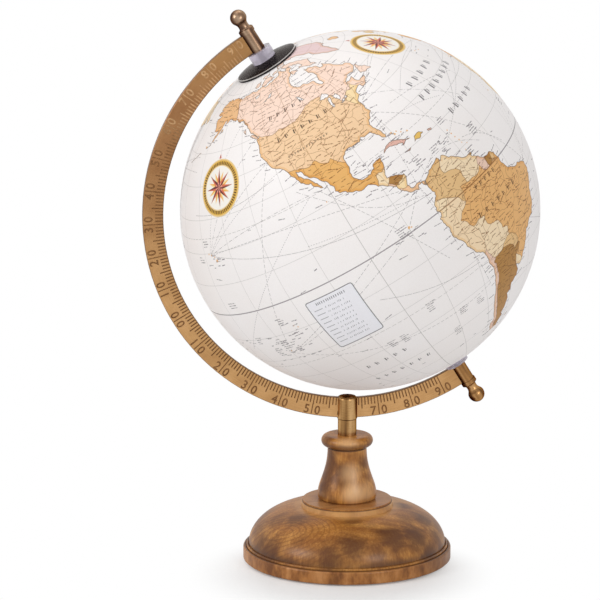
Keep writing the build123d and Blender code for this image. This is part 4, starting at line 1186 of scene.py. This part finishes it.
def numeral_loops():
    """The ten numerals as flat outlines round their own middles."""
    boldness, slimness = 0.018, 0.96
    numerals = {}
    for numeral in "0123456789":
        bpy.ops.object.select_all(action="DESELECT")
        bpy.ops.object.text_add(location=(0, 0, 0))
        text = bpy.context.object
        text.data.body = numeral
        text.data.size = numeral_size
        text.data.offset = numeral_size * boldness
        text.data.resolution_u = 3
        bpy.ops.object.convert(target="MESH")
        bpy.ops.object.mode_set(mode="EDIT")
        bpy.ops.mesh.select_all(action="SELECT")
        bpy.ops.mesh.remove_doubles(threshold=1e-6)
        bpy.ops.object.mode_set(mode="OBJECT")
        shape = bpy.context.object
        flat = bmesh.new()
        flat.from_mesh(shape.data)
        loops = [[v.co.copy() for v in loop] for loop in edge_loops(flat.faces)]
        points = [p for loop in loops for p in loop]
        middle = Vector([(min(p[k] for p in points) + max(p[k] for p in points)) / 2 for k in range(3)])
        numerals[numeral] = [[((p.x - middle.x) * slimness, p.y - middle.y) for p in loop] for loop in loops]
        flat.free()
        bpy.data.objects.remove(shape)
    return numerals


def scale_marks():
    """The outlines of the scale's marks and numerals on the arc's face, as places in x and z."""
    tens, fives, ones = (0.95, 0.0006), (0.57, 0.00066), (0.39, 0.0007)
    marks = []
    for unit in range(-90, 91):
        share, wide = tens if unit % 10 == 0 else fives if unit % 5 == 0 else ones
        turned = scale_angle(unit)
        mark_end = arc_inner + arc_width * share
        corners = []
        for reach, side in ((mark_start, -1), (mark_end, -1), (mark_end, 1), (mark_start, 1)):
            place = arc_centre + arc_way(turned) * reach + arc_along(turned) * side * wide / 2
            corners.append((place.x, place.z))
        marks.append([corners])
    numerals = numeral_loops()
    for unit in range(-90, 91, 10):
        side = 1 if unit > 0 else -1
        for numeral, step in ((str(abs(unit) // 10), -1), ("0", 1)):
            at = scale_angle(unit) + side * step * numeral_step / numeral_reach
            up, along = arc_way(at) * side, arc_along(at) * side
            middle = arc_centre + arc_way(at) * numeral_reach
            placed = []
            for loop in numerals[numeral]:
                spots = [middle + along * x + up * y for x, y in loop]
                placed.append([(p.x, p.z) for p in spots])
            marks.append(placed)
    return marks


def scaled_arc(face_finish, mark_finish):
    """The meridian arc with its scale sunk into the side that faces the front."""
    mesh = frame["nodes"]["meridian_arc"].data.copy()
    mesh.name = "scaled_arc"
    body = bmesh.new()
    body.from_mesh(mesh)
    bmesh.ops.remove_doubles(body, verts=body.verts, dist=1e-6)
    body.normal_update()
    face_set = [f for f in body.faces
                if f.normal.y < -0.99 and abs(f.calc_center_median().y - arc_face) < 2e-5]
    rims = edge_loops(face_set)
    owners = [v for rim in rims for v in rim]
    rim_loops = [[(v.co.x, v.co.z) for v in rim] for rim in rims]
    marks = scale_marks()
    mark_loops = [loop for mark in marks for loop in mark]
    points, edges = [], []
    for loop in rim_loops + mark_loops:
        first = len(points)
        points += [Vector(p) for p in loop]
        edges += sides(list(range(first, len(points))))
    cut = delaunay_2d_cdt(points, edges, [], 0, 1e-8, True)
    x, z = np.array([v.x for v in cut[0]]), np.array([v.y for v in cut[0]])
    triangles = np.array(cut[2])
    mid_x, mid_z = x[triangles].mean(1), z[triangles].mean(1)
    on_face = np.logical_xor.reduce([inside(loop, mid_x, mid_z) for loop in rim_loops])
    sunk = np.zeros(len(triangles), bool)
    for mark in marks:
        sunk |= np.logical_xor.reduce([inside(loop, mid_x, mid_z) for loop in mark])
    bmesh.ops.delete(body, geom=face_set, context="FACES_ONLY")
    top, floor_verts = {}, {}
    for new, sources in enumerate(cut[3]):
        for source in sources:
            if source < len(owners):
                top[new] = owners[source]
    triangle_of = {}
    for number in np.flatnonzero(on_face):
        corners = [int(k) for k in triangles[number]]
        level = floor_verts if sunk[number] else top
        depth = arc_face + (mark_depth if sunk[number] else 0)
        for k in corners:
            if k not in level:
                level[k] = body.verts.new((x[k], depth, z[k]))
        face = body.faces.new([level[k] for k in corners])
        face.material_index = 1 if sunk[number] else 0
        for edge in sides(corners):
            triangle_of[edge] = number
    for (a, b), number in triangle_of.items():
        other = triangle_of.get((b, a))
        if sunk[number] and other is not None and not sunk[other]:
            wall = body.faces.new([top[a], top[b], floor_verts[b], floor_verts[a]])
            wall.material_index = 1
    mesh.materials.clear()
    mesh.materials.append(face_finish)
    mesh.materials.append(mark_finish)
    body.to_mesh(mesh)
    body.free()
    arc = bpy.data.objects.new("scaled_arc", mesh)
    bpy.context.scene.collection.objects.link(arc)
    bpy.ops.object.select_all(action="DESELECT")
    arc.select_set(True)
    bpy.context.view_layer.objects.active = arc
    bpy.ops.mesh.customdata_custom_splitnormals_clear()
    bpy.ops.object.shade_smooth_by_angle(angle=radians(25))
    return arc


def turned_wood():
    """Brown turned hardwood: rings round an eye, burnt patches, golden streaks and a satin lacquer, with painted
    shade on its sides, under the collar and in its grooves, and painted highlights on the neck and the collar.
    """
    wood = Finish("turned_wood", roughness=0.5, specular_ior_level=0.0, coat_weight=0.65, coat_roughness=0.34)
    eye = (-0.0384, -0.0276, 0.0246)
    facing = (0.0, 0.95, 0.72)
    centred = wood.turned(shift=[-c for c in eye])
    waves = {"Vector": wood.turned(rotation=facing, place=centred), "Scale": 125.0, "Distortion": 3.0,
             "Detail": 2.0, "Detail Scale": 0.35, "Detail Roughness": 0.5}
    rings = wood.node("TexWave", waves, wave_type="RINGS", rings_direction="X").outputs["Fac"]
    fibre = wood.noise(wood.turned((900, 900, 60), facing, place=centred), 1.0, 5.0, 0.62)
    streak = wood.noise(wood.turned((30, 90, 60), facing, place=centred), 1.0, 4.0, 0.6, 0.8)
    mottle = wood.noise(wood.turned((40, 40, 55)), 1.0, 3.0, 0.55, 0.5)
    base = wood.ramp(streak, [(0.3, srgb(154, 94, 38)), (0.5, srgb(182, 121, 54)), (0.7, srgb(208, 149, 76))])
    near_eye = wood.between(wood.away(wood.spot, eye), 0.045, 0.012, 0.08, 0.5)
    ringed = wood.times(wood.ramp(rings, [(0.02, 1.0), (0.3, 0.0)]), near_eye)
    base = wood.mix(ringed, base, srgb(124, 74, 30))
    base = wood.mix(wood.ramp(fibre, [(0.36, 0.4), (0.58, 0.0)]), base, srgb(110, 60, 22))
    base = wood.mix(wood.ramp(fibre, [(0.55, 0.0), (0.75, 0.4)]), base, srgb(220, 166, 92))

    # Dark patches, each with its middle, its reach and how dark it is: burnt patches in the wood, and painted
    # shade on the sides of the neck, the collar and the dome. Then painted highlights on the neck and the collar.
    dark = wood.ramp(mottle, [(0.56, 0.0), (0.8, 0.5)])
    dark_and_shade_patches = [((-0.0484, -0.0274, 0.0129), 0.013, 0.8), ((-0.0522, -0.0177, 0.0146), 0.013, 0.8),
               ((-0.0159, -0.053, 0.0137), 0.013, 0.8), ((-0.0041, -0.0515, 0.0206), 0.013, 0.8),
               ((0.0203, -0.0441, 0.0236), 0.014, 0.8), ((0.0347, -0.0374, 0.0212), 0.014, 0.85),
               ((0.0424, -0.0365, 0.0112), 0.013, 0.8), ((-0.0314, -0.0189, 0.0297), 0.009, 0.7),
               ((0.0306, -0.0029, 0.0309), 0.009, 0.7), ((-0.0014, -0.0324, 0.0306), 0.007, 0.6),
               ((0.0506, -0.0128, 0.0199), 0.014, 0.6), ((-0.0519, -0.0057, 0.0199), 0.012, 0.6),
               ((0.0103, -0.0526, 0.0178), 0.011, 0.55), ((-0.0265, -0.0475, 0.014), 0.009, 0.4),
               ((0.053, 0.02, 0.015), 0.02, 0.75), ((-0.02, 0.05, 0.016), 0.022, 0.75),
               ((-0.054, 0.016, 0.02), 0.018, 0.75), ((0.03, 0.035, 0.027), 0.017, 0.75),
               # Painted shade on the sides of the neck and the collar.
               ((-0.0046, -0.0112, 0.0545), 0.007, 0.75), ((-0.0108, -0.005, 0.0565), 0.009, 0.75),
               ((-0.0124, -0.0054, 0.0502), 0.009, 0.75), ((-0.0105, -0.0127, 0.0367), 0.005, 0.6),
               ((0.0096, -0.0133, 0.0379), 0.004, 0.4), ((0.007, 0.011, 0.05), 0.01, 0.6),
               ((0.0083, -0.0085, 0.057), 0.006, 0.6), ((0.0095, -0.0085, 0.0495), 0.005, 0.35),
               ((-0.0134, -0.0051, 0.0713), 0.007, 0.6), ((0.0125, -0.0075, 0.069), 0.006, 0.5),
               # Burnt patches on the rim.
               ((-0.0116, -0.058, 0.0061), 0.007, 0.6), ((-0.0505, -0.0308, 0.0074), 0.008, 0.35),
               ((0.0363, -0.0468, 0.0049), 0.004, 0.5), ((0.05, 0.028, 0.006), 0.009, 0.5),
               # Painted shade on the left of the neck, then on the dome's right and left sides.
               ((-0.0102, -0.0047, 0.0625), 0.007, 0.8), ((-0.0142, -0.0064, 0.0435), 0.008, 0.8),
               ((-0.0052, -0.0127, 0.0488), 0.006, 0.6), ((-0.0146, -0.007, 0.0392), 0.006, 0.7),
               ((0.0428, -0.0168, 0.025), 0.013, 0.75), ((0.0478, -0.0229, 0.0165), 0.012, 0.7),
               ((0.031, -0.0253, 0.0292), 0.009, 0.5), ((-0.0427, -0.0108, 0.0265), 0.01, 0.5)]
    for spot, reach, depth in dark_and_shade_patches:
        ragged = wood.times(wood.math("SUBTRACT", streak, 0.5), reach * 1.6)
        away = wood.math("ADD", wood.away(wood.spot, spot), ragged)
        dark = wood.math("MAXIMUM", dark, wood.between(away, reach * 1.2, reach * 0.2, 0.0, depth))
    base = wood.mix(dark, base, srgb(78, 40, 16))
    # Painted highlights on the front of the neck and the collar, each with how strong it is.
    painted_highlights = [((0.0012, -0.0159, 0.042), 0.75), ((0.0006, -0.013, 0.053), 0.5),
                  ((0.0092, -0.0137, 0.0425), 0.4), ((-0.0018, -0.0135, 0.0716), 0.5)]
    for spot, pale in painted_highlights:
        highlight_amount = wood.between(wood.away(wood.spot, spot), 0.009, 0.001, 0.0, pale)
        base = wood.mix(highlight_amount, base, srgb(234, 190, 140))

    # Bands by height: the dome's foot, the bevel of its seat, the rim with painted shade on its right side, the
    # neck's foot, painted shade under the collar, and painted shade in the grooves and along the bottom edge.
    height = wood.parts()["Z"]
    foot = wood.band(height, 0.0092, 0.0099, 0.0103, 0.0145)
    base = wood.mix(wood.times(foot, wood.between(mottle, 0.35, 0.6, 0.1, 0.7)), base, srgb(72, 42, 26))
    bevel = wood.band(height, 0.0304, 0.0314, 0.0340, 0.0343)
    base = wood.mix(wood.times(bevel, wood.between(streak, 0.3, 0.7, 0.45, 0.9)), base, srgb(214, 164, 104))
    patchy = wood.noise(wood.turned((150, 150, 60)), 1.0, 4.0, 0.62)
    rim_tone_and_shade = wood.ramp(patchy, [(0.36, srgb(112, 64, 28)), (0.5, srgb(166, 108, 56)),
                                  (0.66, srgb(196, 138, 84))])
    # Painted shade: the rim is darker on its right side.
    rim_tone_and_shade = wood.mix(wood.between(wood.parts()["X"], 0.025, 0.05, 0.0, 0.6), rim_tone_and_shade, srgb(92, 52, 26))
    base = wood.mix(wood.times(wood.between(height, 0.0088, 0.0076), 0.8), base, rim_tone_and_shade)
    step = wood.band(height, 0.035, 0.0352, 0.0354, 0.0357)
    base = wood.mix(wood.times(step, wood.between(streak, 0.3, 0.7, 0.3, 0.7)), base, srgb(184, 134, 88))
    # Painted shade under the collar.
    shade_under_collar = wood.band(height, 0.0662, 0.0666, 0.0688, 0.0708)
    base = wood.mix(wood.times(shade_under_collar, 0.6), base, srgb(84, 46, 22))
    # Painted shade in the grooves by the rim, under the collar and round the neck's foot, and along the bottom
    # edge.
    fade = 0.0004
    for low, high in ((0.0079, 0.0087), (0.0650, 0.0664), (0.0337, 0.0346), (0.0356, 0.0366), (0.0, 0.0006)):
        groove_shade = wood.band(height, low, low + fade, high - fade, high)
        base = wood.mix(wood.times(groove_shade, 0.7), base, srgb(72, 42, 24))
    wood.give(base_color=base)
    wood.relief(fibre, 0.00022, 0.3)
    return wood.material


def antique_brass():
    """Satin antique brass, streaked brown along each piece's own axis, the streaks partly painted reflection
    stripes, and greyer at the top as a painted reflection.
    """
    brass = Finish("antique_brass", metallic=1.0, roughness=0.3, specular_tint=srgb(120, 92, 80))
    leaning = brass.turned(rotation=(0, atan2(-north.x, north.z), 0), shift=(0.071, 0.031, 0))
    fine = brass.noise(brass.turned((300, 300, 2600)), 1.0, 3.0)
    # Streaks of tone along each axis, which also stand in for the reflection stripes: partly painted reflection.
    upright_streak_and_reflection = brass.noise(brass.turned((190, 190, 14)), 1.0, 2.0, 0.4)
    leaning_streak_and_reflection = brass.noise(brass.turned((190, 190, 14), place=leaning), 1.0, 2.0, 0.4)
    x, _, z = brass.parts()
    golden = brass.ramp(upright_streak_and_reflection, [(0.28, srgb(84, 56, 38)), (0.4, srgb(150, 112, 68)),
                                         (0.5, srgb(190, 150, 100)), (0.64, srgb(212, 174, 124))])
    # Painted reflection: a greyer tone for the pieces at the top.
    grey_painted_reflection = brass.ramp(leaning_streak_and_reflection, [(0.34, srgb(70, 50, 44)), (0.45, srgb(128, 102, 82)),
                                       (0.55, srgb(176, 150, 126)), (0.68, srgb(204, 178, 152))])
    worn = brass.ramp(leaning_streak_and_reflection, [(0.36, srgb(86, 60, 40)), (0.48, srgb(154, 112, 68)),
                                       (0.6, srgb(196, 152, 102)), (0.74, srgb(220, 180, 130))])
    beside_post = brass.between(brass.math("ABSOLUTE", x), 0.018, 0.022)
    tone = brass.mix(beside_post, golden, brass.mix(brass.between(z, 0.2, 0.25), worn, grey_painted_reflection))
    brass.give(base_color=brass.mix(brass.ramp(fine, [(0.4, 0.15), (0.65, 0.0)]), tone, srgb(84, 56, 36)))
    brass.give(roughness=brass.between(fine, 0.3, 0.7, 0.26, 0.36, False))
    brass.relief(fine, 0.00003, 0.1)
    return brass.material


def arc_brass():
    """Brushed brass along the arc, golden below and browner above, with painted shade along its inner and outer
    edges.
    """
    brass = Finish("arc_brass", metallic=1.0, roughness=0.4)
    x, y, z = brass.parts(brass.turned(shift=-arc_centre))
    reach = brass.math("SQRT", brass.math("ADD", brass.times(x, x), brass.times(z, z)))
    bearing = brass.math("ARCTAN2", z, x)
    sweep = {"X": brass.times(reach, 5200.0), "Y": brass.times(bearing, 9.0), "Z": y}
    brushed = brass.noise(brass.node("CombineXYZ", sweep).outputs["Vector"], 1.0, 4.0, 0.65)
    cloud = brass.noise(brass.spot, 70.0, 4.0, 0.6)
    low = brass.ramp(cloud, [(0.3, srgb(184, 140, 92)), (0.55, srgb(200, 156, 105)),
                             (0.75, srgb(210, 166, 116))])
    high = brass.ramp(cloud, [(0.3, srgb(140, 98, 64)), (0.6, srgb(160, 118, 80)), (0.8, srgb(172, 132, 92))])
    tone = brass.mix(brass.between(z, -0.06, 0.05), low, high)
    tone = brass.mix(brass.between(z, 0.06, 0.095, 0.0, 0.6), tone, srgb(172, 132, 84))
    tone = brass.mix(brass.between(x, 0.03, 0.092, 0.0, 0.6), tone, srgb(150, 112, 70))
    tone = brass.mix(brass.ramp(brushed, [(0.35, 0.3), (0.6, 0.0)]), tone, srgb(140, 98, 58))
    arc_outer = arc_inner + arc_width
    # Painted shade: darker lines along the arc's inner and outer edges.
    inner_edge_shade = brass.between(reach, arc_inner + 0.0006, arc_inner + 0.0001)
    outer_edge_shade = brass.between(reach, arc_outer - 0.0005, arc_outer - 0.0001)
    rims = brass.times(brass.math("MAXIMUM", inner_edge_shade, outer_edge_shade), 0.7)
    brass.give(base_color=brass.mix(rims, tone, srgb(104, 78, 62)))
    brass.give(roughness=brass.between(brushed, 0.3, 0.7, 0.5, 0.34, False))
    brass.relief(brushed, 0.00006, 0.3)
    return brass.material


def scale_patina():
    """The patina in the sunk marks of the scale: brown below, and pale on the arc's upper end."""
    patina = Finish("scale_patina", metallic=0.5, roughness=0.6)
    cloud = patina.noise(patina.spot, 420.0, 4.0)
    low = patina.ramp(cloud, [(0.3, srgb(116, 78, 42)), (0.55, srgb(142, 100, 58)),
                              (0.8, srgb(168, 124, 78))])
    high = patina.ramp(cloud, [(0.3, srgb(174, 134, 92)), (0.55, srgb(200, 162, 116)),
                               (0.8, srgb(222, 188, 144))])
    patina.give(base_color=patina.mix(patina.between(patina.parts()["Z"], 0.24, 0.264), low, high))
    return patina.material


def cap_metal():
    """Black polished plating with pits that sparkle, and a painted highlight, a thin pale line, along the rim."""
    cap = Finish("cap_metal", metallic=0.75, roughness=0.2, specular_ior_level=0.4,
                 specular_tint=srgb(190, 184, 180))
    speckle = cap.noise(cap.spot, 1300.0, 2.0)
    cloud = cap.noise(cap.spot, 220.0, 4.0, 0.65)
    tone = cap.ramp(cloud, [(0.35, srgb(16, 15, 17)), (0.6, srgb(34, 31, 35)), (0.8, srgb(78, 72, 74))])
    tone = cap.mix(cap.ramp(speckle, [(0.58, 0.0), (0.72, 0.5)]), tone, srgb(150, 144, 140))
    centred = cap.turned(shift=-ball_centre)
    x, _, z = cap.parts(centred)
    up = cap.math("ADD", cap.times(x, north.x), cap.times(z, north.z))
    far = cap.node("VectorMath", {0: centred}, operation="LENGTH").outputs["Value"]
    out = cap.math("SQRT", cap.math("SUBTRACT", cap.times(far, far), cap.times(up, up)))
    # Painted highlight: a thin pale, less metallic line along the rim.
    rim_highlight_reach, rim_highlight_height = (0.0181, 0.0183), (0.10075, 0.1009)
    line = cap.times(cap.between(out, *rim_highlight_reach), cap.between(up, *rim_highlight_height))
    cap.give(base_color=cap.mix(cap.times(line, 0.85), tone, srgb(200, 196, 192)))
    cap.give(metallic=cap.between(line, 0.0, 1.0, 0.75, 0.1))
    cap.give(roughness=cap.between(speckle, 0.35, 0.7, 0.12, 0.42, False))
    cap.relief(speckle, 0.00012, 0.6)
    return cap.material


def clear_plastic():
    """Clear moulded plastic with a grey violet cast."""
    clear = Finish("clear_plastic", roughness=0.16, ior=1.49, transmission_weight=0.6)
    cloud = clear.noise(clear.spot, 260.0, 3.0)
    clear.give(base_color=clear.ramp(cloud, [(0.3, srgb(204, 194, 210)), (0.7, srgb(226, 220, 232))]))
    clear.give(roughness=clear.between(cloud, 0.3, 0.7, 0.08, 0.18, False))
    return clear.material


def plain_finish(name, dark, light, scale, roughness, metallic=0.0, depth=0.00005):
    """A hidden or small finish: a grain between two tones."""
    finish = Finish(name, metallic=metallic, roughness=roughness)
    grain = finish.noise(finish.spot, scale, 5.0, 0.6)
    finish.give(base_color=finish.ramp(grain, [(0.3, dark), (0.7, light)]))
    finish.give(roughness=finish.between(grain, 0.3, 0.7, roughness + 0.08, roughness - 0.08, False))
    finish.relief(grain, depth, 0.4)
    return finish.material


def map_paper():
    """Printed paper under a thin lacquer, a little aged."""
    paper = Finish("map_paper", roughness=0.55, specular_ior_level=0.2, coat_weight=0.1, coat_roughness=0.3)
    ink = paper.node("Attribute", attribute_name="print").outputs["Color"]
    grain = paper.noise(paper.spot, 2600.0, 4.0, 0.6)
    age = paper.noise(paper.spot, 16.0, 3.0, 0.5)
    tone = paper.mix(paper.ramp(age, [(0.42, 0.0), (0.75, 0.2)]), ink, srgb(246, 238, 228), "MULTIPLY")
    tone = paper.mix(paper.ramp(grain, [(0.35, 0.16), (0.6, 0.0)]), tone, srgb(206, 200, 192), "MULTIPLY")
    paper.give(base_color=tone)
    paper.give(roughness=paper.between(grain, 0.3, 0.7, 0.6, 0.5, False))
    paper.relief(grain, 0.00003, 0.25)
    return paper.material


finishes = {
    "turned_wood": turned_wood(), "antique_brass": antique_brass(), "arc_brass": arc_brass(),
    "cap_metal": cap_metal(), "clear_plastic": clear_plastic(), "map_paper": map_paper(),
    "felt": plain_finish("felt", srgb(38, 48, 38), srgb(66, 78, 62), 2200.0, 0.9, depth=0.0003),
    "steel": plain_finish("steel", srgb(150, 150, 150), srgb(206, 206, 204), 900.0, 0.34, 1.0),
    "shell_plastic": plain_finish("shell_plastic", srgb(220, 216, 206), srgb(232, 228, 220), 300.0, 0.5),
    "bush_plastic": plain_finish("bush_plastic", srgb(226, 226, 222), srgb(238, 238, 234), 500.0, 0.45)}
for subpart in frame["record"]["subparts"]:
    node = frame["nodes"][subpart["node"]]
    for slot in node.material_slots:
        slot.material = finishes[subpart["material_slot"]]

paper = printed_ball()
paper.data.materials.append(finishes["map_paper"])
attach(paper, "globe")
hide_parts("north_map_skin", "south_map_skin")

arc = scaled_arc(finishes["arc_brass"], scale_patina())
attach(arc, "stand")
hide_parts("meridian_arc")


def floor_finish():
    """A pale floor that takes the object's shadow and fades into the white backdrop."""
    material = bpy.data.materials.new("pale_floor")
    material.use_nodes = True
    material.node_tree.nodes.clear()
    floor = NodeTree(material.node_tree)
    matt = floor.node("BsdfDiffuse", {"Color": (0.8, 0.8, 0.8, 1)}).outputs[0]
    lift = floor.node("Emission", {"Strength": 0.16}).outputs[0]
    shaded = floor.node("AddShader", {0: matt, 1: lift}).outputs[0]
    white = floor.node("Emission", {"Strength": 1.0}).outputs[0]
    fade = floor.between(floor.away(floor.place(), (-0.008, -0.034, 0)), 0.04, 0.09)
    backdrop = floor.node("MixShader", {0: fade, 1: shaded, 2: white}).outputs[0]
    whole = floor.node("MixShader", {0: floor.shown(), 1: matt, 2: backdrop}).outputs[0]
    floor.node("OutputMaterial", {"Surface": whole})
    return material


bpy.ops.object.select_all(action="DESELECT")
bpy.ops.mesh.primitive_circle_add(vertices=96, radius=1.4, fill_type="NGON", location=(0, 0, 0))
floor = bpy.context.object
floor.name = "floor"
floor.data.materials.append(floor_finish())

# The sky lights the object softly, and the camera sees it as plain white.
world = bpy.data.worlds.new("studio")
bpy.context.scene.world = world
world.use_nodes = True
world.node_tree.nodes.clear()
sky = NodeTree(world.node_tree)
soft = sky.node("Background", {"Color": (1, 1, 1, 1), "Strength": 0.5}).outputs[0]
white = sky.node("Background", {"Color": (1, 1, 1, 1)}).outputs[0]
whole = sky.node("MixShader", {0: sky.shown(), 1: soft, 2: white}).outputs[0]
sky.node("OutputWorld", {"Surface": whole})


def softbox(name, place, size, power):
    """A square area lamp aimed at the stand and the ball."""
    lamp = bpy.data.lights.new(name, "AREA")
    lamp.shape = "SQUARE"
    lamp.size = size
    lamp.energy = power
    box = bpy.data.objects.new(name, lamp)
    bpy.context.scene.collection.objects.link(box)
    box.location = place
    box.rotation_euler = (Vector(place) - Vector((0, 0, 0.15))).to_track_quat("Z", "Y").to_euler()


softbox("left_softbox", (-1.26, -0.48, 0.78), 0.55, 7.0)
softbox("right_softbox", (0.65, -1.32, 0.66), 0.55, 5.6)
softbox("top_softbox", (-0.1, 0.3, 1.6), 1.1, 6.5)

# The camera that took the photo, as it was fitted to it.
view_turn, view_rise, view_reach = radians(-7.394), radians(13.125), 3.0
photo_width, focal_length, sensor_width = 600, 5313.7, 36
look = Vector((-0.027033, 0, 0.152096))
back = Vector((sin(view_turn) * cos(view_rise), -cos(view_turn) * cos(view_rise), sin(view_rise)))
lens = bpy.data.cameras.new("camera")
lens.sensor_width = sensor_width
lens.lens = focal_length / photo_width * sensor_width
lens.clip_end = 100
camera = bpy.data.objects.new("camera", lens)
bpy.context.scene.collection.objects.link(camera)
camera.location = look + back * view_reach
camera.rotation_euler = back.to_track_quat("Z", "Y").to_euler()
bpy.context.scene.camera = camera
bpy.context.scene.view_settings.view_transform = "Standard"
